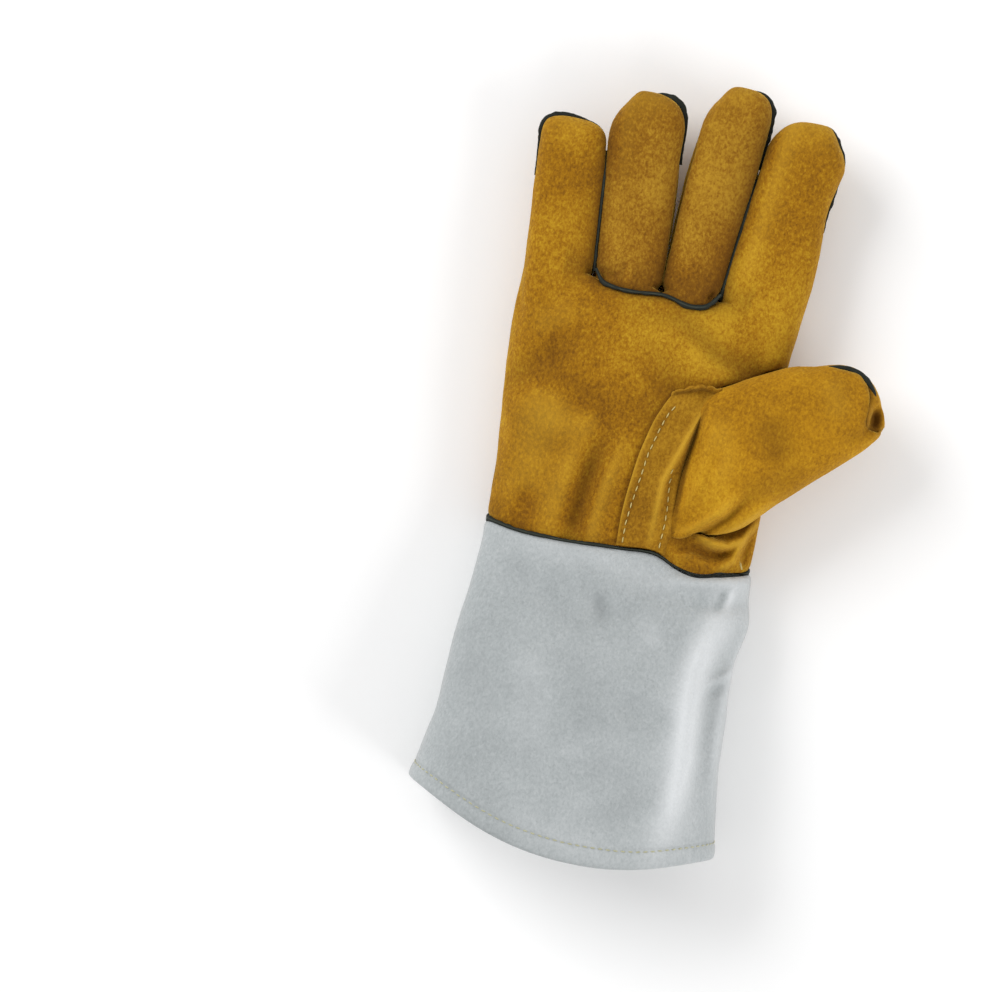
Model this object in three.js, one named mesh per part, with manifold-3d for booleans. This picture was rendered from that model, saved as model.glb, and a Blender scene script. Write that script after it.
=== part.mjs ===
// A leather welding glove for the right hand, lying on its back with the palm up.
// Millimetres, +Z up, +Y towards the fingertips, +X towards the thumb.
// Every leather piece is a wall of its own: the hollow form is lofted once, and the seams cut it into
// the panels that a glover would sew together.
import * as THREE from 'three';
import { mergeVertices } from 'three/addons/utils/BufferGeometryUtils.js';
import Module from 'manifold-3d';

const wasm = await Module();
wasm.setup();
const { lerp, smoothstep, degToRad } = THREE.MathUtils;

// Leather, and the gap at each seam
const handWall = 1.8;
const cuffWall = 1.6;
const seamGap = 0.3;
const halfGap = seamGap / 2;

// Hand, from the cuff joint to the crotches of the fingers
const palmLength = 116;
const wristWidth = 122;
const wristDepth = 40;
const knuckleDepth = 37;
const palmSwell = 6.5;
const jointDip = 6;
const knuckleDip = 4.4;
const fingerGap = 1.3;
const fingerRoot = 26;
const fingerCurl = 13;
const fourchetteWidth = 14;
const fourchetteDrop = 3.5;

// The longest and the widest finger, beyond the crotches
const fingerLength = 97;
const fingerWidth = 38;
const fingerDepth = 28;
const fingerDome = 20;

// Fingers from the little finger to the index, each as shares of these sizes. Swell is how wide a
// finger grows, as a share of its own width, and lean is in degrees.
const fingerRows = [
  { name: 'little', width: 0.82, swell: 0.98, length: 0.706, depth: 0.93, dome: 0.75, lean: -5.2 },
  { name: 'ring', width: 0.785, swell: 1.11, length: 0.897, depth: 0.965, dome: 1, lean: -4.3 },
  { name: 'middle', width: 0.668, swell: 1.16, length: 1, depth: 0.965, dome: 0.95, lean: 2.9 },
  { name: 'index', width: 1, swell: 0.96, length: 0.907, depth: 1, dome: 0.85, lean: 4.6 },
];

// Gauntlet cuff
const cuffLength = 145;
const hemLittleFlare = 14;
const hemThumbFlare = 10;
const hemDepth = 68;
const hemBow = 21;
const hemFold = 10;

// Thumb, along a line from the middle of its root to its tip
const thumbReach = 89.5;
const thumbWidth = 71;
const thumbDepth = 44;
const thumbAngle = 25.8;
const thumbRootX = 24;
const thumbRootY = 42.5;
const thumbHeight = 34.5;
const thumbLip = 14;

// Strap over the thumb's seam, and the black welts
const strapWidth = 22;
const strapLength = 75;
const strapWall = 1.4;
const weltWidth = 2.8;
const weltProud = 1.3;

// Sections of the hand: how far each has gone from the wrist's width to the knuckles', how much the
// thumb's side is drawn in, as a share of the wrist, how far the palm has swollen, and the share of
// its height that is left where it closes between the fingers.
const palmSections = [
  { along: 0, spread: 0, waist: 0, swell: 0, close: 1 },
  { along: 0.13, spread: 0.09, waist: 0.004, swell: 0.15, close: 1 },
  { along: 0.29, spread: 0.28, waist: 0.008, swell: 0.58, close: 1 },
  { along: 0.46, spread: 0.55, waist: 0.014, swell: 0.97, close: 1 },
  { along: 0.63, spread: 0.84, waist: 0.02, swell: 0.95, close: 1 },
  { along: 0.79, spread: 1.02, waist: 0.02, swell: 0.68, close: 1 },
  { along: 0.92, spread: 1.02, waist: 0.005, swell: 0.25, close: 0.98 },
  { along: 1, spread: 0.985, waist: 0, swell: 0, close: 0.87 },
];

// Sections of the cuff: how much of each side's flare, and of the rise to the hem's depth, is reached.
const cuffSections = [
  { along: 0, little: 0, thumb: 0, rise: 0 },
  { along: 0.08, little: 0.01, thumb: 0.16, rise: 0.05 },
  { along: 0.16, little: 0.05, thumb: 0.4, rise: 0.15 },
  { along: 0.28, little: 0.18, thumb: 0.1, rise: 0.33 },
  { along: 0.43, little: 0.3, thumb: 0.2, rise: 0.56 },
  { along: 0.6, little: 0.36, thumb: 0.37, rise: 0.75 },
  { along: 0.76, little: 0.6, thumb: 0.7, rise: 0.89 },
  { along: 0.88, little: 0.9, thumb: 0.93, rise: 0.96 },
  { along: 1, little: 1, thumb: 1, rise: 1 },
];

// Sections of the thumb: distance along, offset towards the index as a share of the width, width and
// depth as shares, and the turn of the section in degrees.
const thumbSections = [
  { along: -0.08, offset: 0.01, width: 0.84, depth: 0.36, lift: -0.1, turn: -6 },
  { along: 0, offset: 0, width: 0.95, depth: 0.6, lift: 0, turn: -5 },
  { along: 0.14, offset: -0.018, width: 1, depth: 0.92, lift: 0, turn: -2 },
  { along: 0.32, offset: -0.014, width: 1, depth: 1, lift: 0, turn: 2 },
  { along: 0.49, offset: 0.037, width: 0.873, depth: 0.95, lift: 0.01, turn: 6 },
  { along: 0.65, offset: 0.063, width: 0.72, depth: 0.86, lift: 0.02, turn: 12 },
  { along: 0.8, offset: 0.085, width: 0.61, depth: 0.74, lift: 0.03, turn: 17 },
  { along: 0.9, offset: 0.083, width: 0.49, depth: 0.6, lift: 0.03, turn: 21 },
  { along: 0.965, offset: 0.054, width: 0.33, depth: 0.4, lift: 0.03, turn: 22 },
  { along: 1, offset: 0.01, width: 0.16, depth: 0.2, lift: 0.03, turn: 20 },
];

// Folds of the palm's face: ends and half width as shares of the wrist's width across and of the
// palm's length along, and height as a share of the wrist's depth (below 0 for a valley).
const palmFolds = [
  { x0: -0.19, y0: -0.02, x1: -0.14, y1: 0.4, half: 0.05, height: -0.11 },
  { x0: -0.1, y0: -0.02, x1: -0.07, y1: 0.36, half: 0.04, height: 0.05 },
  { x0: -0.28, y0: -0.02, x1: -0.24, y1: 0.28, half: 0.045, height: 0.04 },
  { x0: 0.1, y0: 0.93, x1: 0.42, y1: 0.8, half: 0.07, height: -0.08 },
  { x0: -0.54, y0: 0.55, x1: -0.34, y1: 0.75, half: 0.06, height: -0.04 },
  { x0: 0.24, y0: 0.03, x1: 0.3, y1: 0.12, half: 0.03, height: 0.06 },
  { x0: 0.36, y0: 0.02, x1: 0.4, y1: 0.12, half: 0.03, height: -0.06 },
];

// Folds of the cuff's face, as shares of the wrist's width, the cuff's length and the hem's depth.
const cuffFolds = [
  { x0: 0.39, y0: -0.16, x1: 0.37, y1: -0.95, half: 0.06, height: 0.045 },
  { x0: 0.5, y0: -0.24, x1: 0.49, y1: -0.72, half: 0.045, height: -0.09 },
  { x0: 0.2, y0: -0.4, x1: 0.27, y1: -0.62, half: 0.09, height: -0.035 },
  { x0: 0.22, y0: -0.78, x1: 0.3, y1: -0.96, half: 0.08, height: -0.04 },
  { x0: -0.02, y0: -0.12, x1: 0.0, y1: -0.26, half: 0.06, height: -0.025 },
  { x0: -0.45, y0: -0.55, x1: -0.3, y1: -0.75, half: 0.09, height: -0.03 },
];

// The joint of hand and cuff on the palm's side: how far it sags towards the hem, as a share of its
// greatest dip.
const jointSag = [
  { across: -0.55, sag: 0 },
  { across: -0.4, sag: 0.42 },
  { across: -0.25, sag: 0.5 },
  { across: 0, sag: 0.2 },
  { across: 0.14, sag: 0.1 },
  { across: 0.22, sag: 0.75 },
  { across: 0.3, sag: 1 },
  { across: 0.38, sag: 0.67 },
  { across: 0.55, sag: 0 },
];

// The seam at the base of the ring and middle fingers: its place between the outer crotches, and how
// far it dips below them, as a share of its greatest dip.
const knuckleSeam = [
  { across: 0, dip: -0.9 },
  { across: 0.05, dip: 0.1 },
  { across: 0.16, dip: 0.68 },
  { across: 0.32, dip: 0.77 },
  { across: 0.56, dip: 0.45 },
  { across: 0.82, dip: 1 },
  { across: 0.93, dip: 0.45 },
  { across: 1, dip: -0.9 },
];

// Edges of the strap: how far up it, and where its left edge lies, as a share of its width.
const strapEdges = [
  { along: 0, across: 0 },
  { along: 0.3, across: 0.03 },
  { along: 0.55, across: 0.13 },
  { along: 0.75, across: 0.24 },
  { along: 0.9, across: 0.38 },
  { along: 1, across: 0.52 },
];

// How far each tip welt runs down the little-finger side and the thumb's side of its finger, as shares
// of the finger's length
const tipWelts = {
  little: { before: 0.68, after: 0.2 },
  ring: { before: 0.05, after: 0.42 },
  middle: { before: 0.03, after: 0.46 },
  index: { before: 0, after: 0.66 },
};

// Facets round each form, and along each welt
const trunkAround = 32;
const fingerAround = 12;
const thumbAround = 16;
const weltSteps = 8;

// Smooth values between the rows of a table, found by its first column.
function reader(table) {
  const [key, ...columns] = Object.keys(table[0]);
  const places = Float32Array.from(table, (row) => row[key]);
  const values = Float32Array.from(table.flatMap((row) => columns.map((c) => row[c])));
  const curve = new THREE.CubicInterpolant(places, values, columns.length);
  const last = places[places.length - 1];
  return (at) => {
    const found = curve.evaluate(THREE.MathUtils.clamp(at, places[0], last));
    return Object.fromEntries(columns.map((c, i) => [c, found[i]]));
  };
}

const palmAt = reader(palmSections);
const cuffAt = reader(cuffSections);
const thumbAt = reader(thumbSections);
const sagAt = reader(jointSag);
const knuckleAt = reader(knuckleSeam);
const strapAt = reader(strapEdges);

// The fingers stand side by side, and the hand's width at the knuckles is theirs.
const fingers = fingerRows.map((row) => ({
  ...row,
  width: row.width * fingerWidth,
  length: row.length * fingerLength,
  depth: row.depth * fingerDepth,
  dome: row.dome * fingerDome,
}));
const knuckleWidth = fingers.reduce((sum, f) => sum + f.width, fingerGap * (fingers.length - 1));
const knuckleLeft = -wristWidth / 2 - 0.061 * wristWidth;
const knuckleRight = knuckleLeft + knuckleWidth;
let nextLeft = knuckleLeft;
for (const f of fingers) {
  f.rootX = nextLeft + f.width / 2;
  nextLeft += f.width + fingerGap;
}
const longest = Math.max(...fingers.map((f) => f.length));

// Height of the side seams: the middle of the fingers, which curl up, and of the hand's edge.
function seamHeight(y) {
  if (y < 0) return lerp(0.43 * wristDepth, 0.43 * hemDepth, cuffAt(-y / cuffLength).rise);
  const share = Math.min(y / palmLength, 1);
  const curl = Math.max(0, y - palmLength) / longest;
  return lerp(0.43 * wristDepth, 0.5 * knuckleDepth, share) + fingerCurl * curl * curl;
}

// Half width and middle of a finger where it has come a distance beyond the crotches.
function fingerAt(f, beyond) {
  const share = Math.max(0, beyond / f.length);
  const swell = lerp(1, f.swell, smoothstep(share, 0, 0.7));
  const intoDome = Math.max(0, beyond - (f.length - f.dome)) / f.dome;
  const dome = Math.pow(Math.max(0, 1 - Math.pow(intoDome, 2.3)), 1 / 2.3);
  const depth = lerp(knuckleDepth * 0.9, f.depth, smoothstep(beyond, -0.3 * fingerRoot, 1.1 * fingerRoot));
  return {
    x: f.rootX + beyond * Math.tan(degToRad(f.lean)),
    half: (f.width / 2) * swell * dome,
    depth: (depth / 2) * dome,
  };
}

// Middle of the gap between a finger and the next.
function gapX(i, y) {
  const [a, b] = [fingerAt(fingers[i], 0), fingerAt(fingers[i + 1], 0)];
  const at = 0.5 * fingers[i].length;
  const [c, d] = [fingerAt(fingers[i], at), fingerAt(fingers[i + 1], at)];
  const near = (a.x + a.half + b.x - b.half) / 2;
  const far = (c.x + c.half + d.x - d.half) / 2;
  return lerp(near, far, (y - palmLength) / at);
}

// Height that a table's folds add at a point.
function foldHeight(folds, x, y, length, depth) {
  return folds.reduce((sum, fold) => {
    const from = new THREE.Vector2(fold.x0 * wristWidth, fold.y0 * length);
    const run = new THREE.Vector2(fold.x1 * wristWidth, fold.y1 * length).sub(from);
    const to = new THREE.Vector2(x, y).sub(from);
    const share = THREE.MathUtils.clamp(to.dot(run) / run.lengthSq(), 0, 1);
    const away = to.sub(run.multiplyScalar(share)).length() / (fold.half * wristWidth);
    return sum + fold.height * depth * Math.exp(-away * away);
  }, 0);
}

// A closed mesh as a solid, turned outwards.
function solidOf(geometry) {
  const bare = new THREE.BufferGeometry();
  bare.setAttribute('position', geometry.getAttribute('position'));
  bare.setIndex(geometry.index);
  const merged = mergeVertices(bare, 1e-4);
  const corners = Array.from(merged.index.array);
  const kept = [];
  for (let i = 0; i < corners.length; i += 3) {
    const [a, b, c] = corners.slice(i, i + 3);
    if (a !== b && b !== c && c !== a) kept.push(a, b, c);
  }
  const vertProperties = merged.attributes.position.array;
  const make = (triVerts) => new wasm.Manifold(new wasm.Mesh({ numProp: 3, vertProperties, triVerts }));
  const made = make(new Uint32Array(kept));
  return made.volume() > 0 ? made : make(new Uint32Array(kept.reverse()));
}

// A solid through rings of points: ring(station, angle, out) places a point, out being 0 at the
// middle of an end cap and 1 on the ring.
function loft(stations, around, ring) {
  const grid = new THREE.CylinderGeometry(1, 1, 1, around, stations.length - 1);
  const position = grid.getAttribute('position');
  const point = new THREE.Vector3();
  for (let i = 0; i < position.count; i++) {
    point.fromBufferAttribute(position, i);
    const station = stations[Math.round((0.5 - point.y) * (stations.length - 1))];
    const out = Math.hypot(point.x, point.z) > 0.5 ? 1 : 0;
    const placed = ring(station, Math.atan2(point.z, point.x), out);
    position.setXYZ(i, placed.x, placed.y, placed.z);
  }
  return solidOf(grid);
}

// A box whose corners and steps are placed by map(u, v, w), each from 0 to 1.
function warpedBox(steps, map) {
  const box = new THREE.BoxGeometry(1, 1, 1, ...steps);
  const position = box.getAttribute('position');
  for (let i = 0; i < position.count; i++) {
    const [x, y, z] = map(position.getX(i) + 0.5, position.getY(i) + 0.5, position.getZ(i) + 0.5);
    position.setXYZ(i, x, y, z);
  }
  return solidOf(box);
}

// Across and up on a squared oval, as shares of its half sizes.
function oval(angle, upper, lower) {
  const [c, s] = [Math.cos(angle), Math.sin(angle)];
  const power = 2 / (s > 0 ? upper : lower);
  return [Math.sign(c) * Math.pow(Math.abs(c), power), Math.sign(s) * Math.pow(Math.abs(s), power)];
}

// Edges and heights of the hollow trunk, cuff and hand together, at a distance from the joint.
function trunkSection(y) {
  const half = wristWidth / 2;
  if (y < 0) {
    const c = cuffAt(-y / cuffLength);
    return {
      left: -half - c.little * hemLittleFlare,
      right: half + c.thumb * hemThumbFlare,
      top: lerp(wristDepth, hemDepth, c.rise),
      bottom: 0,
    };
  }
  const p = palmAt(y / palmLength);
  const height = lerp(wristDepth, knuckleDepth, y / palmLength) + palmSwell * p.swell;
  const shut = (height * (1 - p.close)) / 2;
  return {
    left: lerp(-half, knuckleLeft, p.spread),
    right: lerp(half, knuckleRight, p.spread) - p.waist * wristWidth,
    top: height - shut,
    bottom: shut,
  };
}

// A point of the trunk's skin, grown outwards by a distance. Its lower curve would reach a little
// below the ground that the glove lies on, which presses it flat.
const soleSpread = 1.07;
const palmPower = 2.4;
const solePower = 3.6;
function trunkPoint(y, angle, out, grow) {
  const s = trunkSection(y);
  const [across, up] = oval(angle, palmPower, solePower);
  const side = seamHeight(y);
  const x = (s.left + s.right) / 2 + out * across * ((s.right - s.left) / 2 + grow);
  const floor = Math.max(0, s.bottom - grow);
  const rise = up > 0 ? s.top + grow - side : soleSpread * (side - s.bottom + grow);
  const folds = y < 0 ? foldHeight(cuffFolds, x, y, cuffLength, hemDepth)
    : foldHeight(palmFolds, x, y, palmLength, wristDepth);
  const fade = smoothstep(up, 0, 0.5);
  return new THREE.Vector3(x, y, Math.max(floor, side + out * (up * rise + folds * fade)));
}

const cuffPlaces = cuffSections.map((row) => -row.along * cuffLength);
const palmPlaces = palmSections.slice(1).map((row) => row.along * palmLength);

// The trunk grown by a distance, which may differ on the cuff and the hand; run is how far it goes
// past the hem.
function trunk(growHand, growCuff, run) {
  const places = [...cuffPlaces.slice().reverse(), ...palmPlaces];
  places[0] -= run;
  places[places.length - 1] += growHand;
  return loft(places, trunkAround, (y, angle, out) => trunkPoint(y, angle, out, y < 0 ? growCuff : growHand));
}

// A finger grown by a distance, from inside the hand to its domed tip.
const fingerPower = 2.6;
function finger(f, grow) {
  const straight = [-1, -0.1].map((share) => share * fingerRoot);
  const shaft = [0.24, 0.55, 0.85].map((share) => share * (f.length - f.dome));
  const tip = [0.3, 0.7, 0.94].map((share) => f.length + grow + (share - 1) * f.dome);
  return loft([...straight, ...shaft, ...tip], fingerAround, (beyond, angle, out) => {
    const at = fingerAt(f, Math.min(beyond, f.length) - grow * Math.max(0, beyond / f.length));
    const [across, up] = oval(angle, fingerPower, fingerPower);
    const y = palmLength + beyond;
    const close = at.half / (f.width / 2);
    return new THREE.Vector3(
      at.x + out * across * (at.half + grow * Math.min(1, close)),
      y,
      seamHeight(y) + out * up * (at.depth + grow * Math.min(1, close)),
    );
  });
}

// The thumb grown by a distance.
const thumbAxis = new THREE.Vector2(1, 0).rotateAround(new THREE.Vector2(), degToRad(thumbAngle));
const thumbSide = new THREE.Vector2(-thumbAxis.y, thumbAxis.x);

const thumbPower = 2.3;
function thumbPoint(along, angle, out, grow) {
  const s = thumbAt(along);
  const across = new THREE.Vector2(0, 1).rotateAround(new THREE.Vector2(), degToRad(s.turn));
  const [wide, up] = oval(angle, thumbPower, thumbPower);
  const middle = new THREE.Vector2(thumbRootX, thumbRootY)
    .addScaledVector(thumbAxis, along * thumbReach)
    .addScaledVector(thumbSide, s.offset * thumbWidth);
  const at = middle.addScaledVector(across, out * wide * ((s.width * thumbWidth) / 2 + grow));
  const height = thumbHeight + s.lift * thumbDepth;
  return new THREE.Vector3(at.x, at.y, height + out * up * ((s.depth * thumbDepth) / 2 + grow));
}

function thumb(grow) {
  const places = thumbSections.map((row) => row.along);
  places[places.length - 1] += grow / thumbReach;
  return loft(places, thumbAround, (along, angle, out) => thumbPoint(along, angle, out, grow));
}

// Everything over the hand's side seams (sense 1) or under them (sense -1), less half the seam's gap.
const far = 400;
function handHalf(sense) {
  return warpedBox([1, 9, 1], (u, v, w) => {
    const y = lerp(-0.2 * palmLength, palmLength + 1.1 * longest, v);
    return [lerp(-far, far, u), y, lerp(seamHeight(y) + sense * halfGap, sense * far, w)];
  });
}

// The thumb's seam follows the middle of its sides and then rises over the tip, round which the back
// piece wraps.
function thumbSeam(along) {
  return thumbHeight + thumbAt(along).lift * thumbDepth + thumbLip * smoothstep(along, 0.76, 0.97);
}

function thumbHalf(sense) {
  const steps = [-0.4, 0.5, 0.7, 0.76, 0.8, 0.84, 0.88, 0.92, 0.96, 1.4];
  return warpedBox([steps.length - 1, 1, 1], (u, v, w) => {
    const along = steps[Math.round(u * (steps.length - 1))];
    const at = new THREE.Vector2(thumbRootX, thumbRootY)
      .addScaledVector(thumbAxis, along * thumbReach)
      .addScaledVector(thumbSide, lerp(-1.5, 1.5, v) * thumbWidth);
    return [at.x, at.y, lerp(thumbSeam(along) + sense * halfGap, sense * far, w)];
  });
}

// The joint's place: it sags on the palm's side and runs straight across the back.
function jointY(x, height) {
  return -sagAt(x / wristWidth).sag * jointDip * smoothstep(height, 0.3 * wristDepth, 0.9 * wristDepth);
}

function acrossJoint(from, to) {
  return warpedBox([12, 1, 2], (u, v, w) => {
    const x = lerp(-0.6, 0.6, u) * wristWidth;
    const z = lerp(-0.3, 1.5, w) * wristDepth;
    return [x, jointY(x, z) + lerp(from, to, v), z];
  });
}

// The strip of wall between two fingers: it runs down one finger's side to the crotch and up the
// other's, lies nearer the back than the palm, and narrows to nothing where the finger's dome begins.
function fourchetteZone(i, margin) {
  const start = palmLength - 0.5 * fingerRoot;
  const wedge = (f, sense) => {
    const end = palmLength + f.length - 0.8 * f.dome;
    return warpedBox([1, 7, 1], (u, v, w) => {
      const y = lerp(start, end - seamGap, v);
      const open = smoothstep(end - y, 0, 0.25 * f.length);
      const half = Math.max(halfGap, (fourchetteWidth / 2) * open + margin - halfGap);
      const edges = [gapX(i, y) - sense * halfGap, fingerAt(f, y - palmLength).x];
      const x = lerp(edges[0], edges[1], sense > 0 ? u : 1 - u);
      return [x, y, seamHeight(y) - fourchetteDrop * open + lerp(-half, half, w)];
    });
  };
  return wedge(fingers[i], -1).add(wedge(fingers[i + 1], 1));
}

// The seam at the base of the ring and middle fingers.
function knuckleY(x) {
  const [from, to] = [gapX(0, palmLength), gapX(2, palmLength)];
  return palmLength - knuckleAt((x - from) / (to - from)).dip * knuckleDip;
}

// The front of a finger that is a piece of its own, between the gaps on either side of it.
function frontZone(i, margin) {
  return warpedBox([6, 2, 1], (u, v, w) => {
    const start = knuckleY(lerp(gapX(i - 1, palmLength), gapX(i, palmLength), u)) - margin;
    const y = lerp(start, palmLength + 1.3 * longest, v);
    const x = lerp(gapX(i - 1, y) - margin, gapX(i, y) + margin, u);
    return [x, y, lerp(0, far, w)];
  });
}

// The hem's edge, straight across the sides and bowed out in the middle.
function hemY(x) {
  const middle = (hemThumbFlare - hemLittleFlare) / 2 + 0.07 * wristWidth;
  const share = Math.abs(x - middle) / (0.6 * wristWidth);
  return -cuffLength + hemBow * Math.min(1.2, Math.pow(share, 2.1));
}

function pastHem(inset) {
  const reach = 0.6 * wristWidth + Math.max(hemLittleFlare, hemThumbFlare);
  return warpedBox([12, 1, 1], (u, v, w) => {
    const x = lerp(-reach, reach, u);
    return [x, lerp(hemY(x) + inset, -2 * cuffLength, v), lerp(-far, far, w)];
  });
}

// The outline of the strap that covers the thumb's seam, seen from above. Its far end slants, and the
// thumb covers its right edge.
function strapZone() {
  const right = thumbRootX - 0.042 * thumbWidth;
  return warpedBox([1, 8, 1], (u, v, w) => {
    const from = right + (strapAt(v).across - 1) * strapWidth;
    const to = right + 0.5 * v * strapWidth;
    return [lerp(from, to, u), v * strapLength * lerp(0.97, 1.06, u), lerp(0.5 * wristDepth, far, w)];
  });
}

// A round bar swept along a path of points.
function sweep(points, width) {
  const curve = new THREE.CatmullRomCurve3(points, false, 'centripetal');
  const section = new THREE.Shape().absellipse(0, 0, width / 2, width / 2, 0, 2 * Math.PI);
  return solidOf(new THREE.ExtrudeGeometry(section, {
    steps: weltSteps,
    curveSegments: 3,
    bevelEnabled: false,
    extrudePath: curve,
  }));
}

// The outline of a finger from a share of its length down one side, over the tip, to a share down the
// other.
function tipPath(f, before, after) {
  const shares = [1, 0.97, 0.9, 0.78, 0.6, 0.35, 0];
  const dome = shares.map((share) => f.length + (share - 1) * f.dome);
  const down = (side, share) => {
    const run = share * f.length;
    const rest = [0.5, 1].map((part) => f.length - f.dome - part * Math.max(0, run - f.dome));
    const reach = [...dome, ...rest].filter((at) => at >= f.length - run);
    return reach.map((at) => {
      const s = fingerAt(f, at);
      const out = s.half + weltProud - weltWidth / 2;
      const y = palmLength + at + Math.max(0, weltProud - weltWidth / 2);
      return new THREE.Vector3(s.x + side * out, y, seamHeight(palmLength + at));
    });
  };
  const [left, right] = [down(-1, before).reverse(), down(1, after)];
  return [...left, ...right.slice(1)];
}

// The largest body of a cut solid, without the crumbs that a cut can leave.
function largest(solid) {
  const bodies = solid.decompose();
  return bodies.reduce((best, body) => (body.volume() > best.volume() ? body : best), bodies[0]);
}

const join = (solids) => solids.reduce((all, one) => all.add(one));

// The hollow form. It runs past the hem, where it is cut off.
const past = 0.2 * cuffLength;
const skin = join([trunk(0, 0, past), ...fingers.map((f) => finger(f, 0))]);
const hollow = join([trunk(-handWall, -cuffWall, 2 * past), ...fingers.map((f) => finger(f, -handWall))]);
const shell = skin.subtract(hollow);
const thumbShell = thumb(0).subtract(thumb(-handWall)).subtract(hollow);
const thumbHole = thumb(seamGap);

// The cuff, whose edge is folded in and sewn down, and the welt at its joint with the hand
const jointHalf = weltWidth / 2;
const notHand = acrossJoint(-far, jointHalf + seamGap);
const notCuff = acrossJoint(-jointHalf - seamGap, far);
const foldedEdge = trunk(0, -0.5 * cuffWall, past)
  .subtract(trunk(-handWall, -2 * cuffWall, 2 * past))
  .intersect(pastHem(hemFold));
const cuff = shell.subtract(notCuff).add(foldedEdge).subtract(pastHem(0));
const cuffWelt = trunk(weltProud, weltProud, past)
  .subtract(hollow)
  .intersect(acrossJoint(-jointHalf, jointHalf));

// Height of the palm's face at a point, without its folds.
function topOf(x, y) {
  const s = trunkSection(Math.min(y, palmLength));
  const middle = (s.left + s.right) / 2;
  const share = Math.min(1, Math.abs(x - middle) / ((s.right - s.left) / 2));
  const rise = Math.pow(1 - Math.pow(share, palmPower), 1 / palmPower);
  const trunkTop = lerp(seamHeight(y), s.top, rise);
  const fingerTop = fingers.map((f) => {
    const at = fingerAt(f, y - palmLength);
    const out = Math.min(1, Math.abs(x - at.x) / at.half);
    return seamHeight(y) + at.depth * Math.pow(1 - Math.pow(out, fingerPower), 1 / fingerPower);
  });
  return y > palmLength ? Math.max(...fingerTop) : Math.max(trunkTop, ...fingerTop);
}

const knucklePath = knuckleSeam.map((row) => {
  const y = palmLength - row.dip * knuckleDip;
  const x = lerp(gapX(0, y), gapX(2, y), row.across);
  return new THREE.Vector3(x, y, topOf(x, y) + weltProud - weltWidth / 2);
});
const knuckleWelt = sweep(knucklePath, weltWidth);
const knuckleGroove = sweep(knucklePath, weltWidth + 2 * seamGap);

// The welts of the tips
const welts = {};
const grooves = [knuckleGroove];
for (const f of fingers) {
  const { before, after } = tipWelts[f.name];
  const path = tipPath(f, before, after);
  welts[f.name] = sweep(path, weltWidth);
  grooves.push(sweep(path, weltWidth + 2 * seamGap));
}
const groove = join(grooves);

const thumbWeltPath = [0.6, 0.68, 0.76, 0.82, 0.87, 0.91, 0.94].map((along) => {
  const half = (thumbAt(along).depth * thumbDepth) / 2;
  const middle = thumbHeight + thumbAt(along).lift * thumbDepth;
  const up = THREE.MathUtils.clamp((thumbSeam(along) - middle) / half, 0, 1);
  return thumbPoint(along, Math.asin(Math.pow(up, thumbPower / 2)), 1, weltProud - weltWidth / 2);
});
const thumbWelt = sweep(thumbWeltPath, weltWidth);
const thumbGroove = sweep(thumbWeltPath, weltWidth + 2 * seamGap);

// Panels of the hand
const hand = shell.subtract(notHand).subtract(thumbHole);
const zones = [0, 1, 2].map((i) => fourchetteZone(i, 0));
const wideZones = join([0, 1, 2].map((i) => fourchetteZone(i, seamGap)));
const upper = hand.intersect(handHalf(1)).subtract(wideZones);
const lower = hand.intersect(handHalf(-1)).subtract(wideZones);
const fronts = frontZone(1, halfGap).add(frontZone(2, halfGap));
const strap = trunk(seamGap + strapWall, 0, past)
  .subtract(trunk(seamGap, 0, 2 * past))
  .intersect(strapZone())
  .subtract(notHand)
  .subtract(thumbHole);

const material = (color, roughness) => new THREE.MeshStandardMaterial({ color, roughness, metalness: 0 });
const tan = material(0xb8821c, 0.95);
const grey = material(0xb9bec2, 0.95);
const black = material(0x26282a, 0.8);

const glove = new THREE.Group();
function piece(name, solid, finish) {
  const made = largest(solid).getMesh();
  const geometry = new THREE.BufferGeometry();
  geometry.setAttribute('position', new THREE.BufferAttribute(made.vertProperties, 3));
  geometry.setIndex(new THREE.BufferAttribute(made.triVerts, 1));
  geometry.computeVertexNormals();
  const mesh = new THREE.Mesh(geometry, finish);
  mesh.name = name;
  glove.add(mesh);
}

piece('back_panel', lower.subtract(groove), tan);
piece('palm_panel', upper.subtract(fronts).subtract(groove), tan);
piece('ring_front', upper.intersect(frontZone(1, -halfGap)).subtract(groove), tan);
piece('middle_front', upper.intersect(frontZone(2, -halfGap)).subtract(groove), tan);
zones.forEach((zone, i) => {
  const name = `fourchette_${fingers[i].name}_${fingers[i + 1].name}`;
  piece(name, hand.intersect(zone).subtract(groove), tan);
});
piece('thumb_front', thumbShell.intersect(thumbHalf(1)).subtract(thumbGroove), tan);
piece('thumb_back', thumbShell.intersect(thumbHalf(-1)).subtract(thumbGroove), tan);
piece('thumb_strap', strap, tan);
piece('gauntlet_cuff', cuff, grey);
piece('cuff_welt', cuffWelt, black);
piece('knuckle_welt', knuckleWelt, black);
for (const f of fingers) piece(`${f.name}_tip_welt`, welts[f.name], black);
piece('thumb_welt', thumbWelt, black);

// The part's origin is on the ground under the middle of the glove.
const bounds = new THREE.Box3().setFromObject(glove, true);
const middle = bounds.getCenter(new THREE.Vector3());
glove.position.set(-middle.x, -middle.y, -bounds.min.z);

const part = new THREE.Group();
part.add(glove);
export default part;
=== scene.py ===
"""A leather welding glove for the right hand, lying on its back with the palm up."""

import math

import bmesh
import bpy
import numpy as np
from mathutils import Matrix, Vector, kdtree, noise
from mathutils.bvhtree import BVHTree


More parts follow.
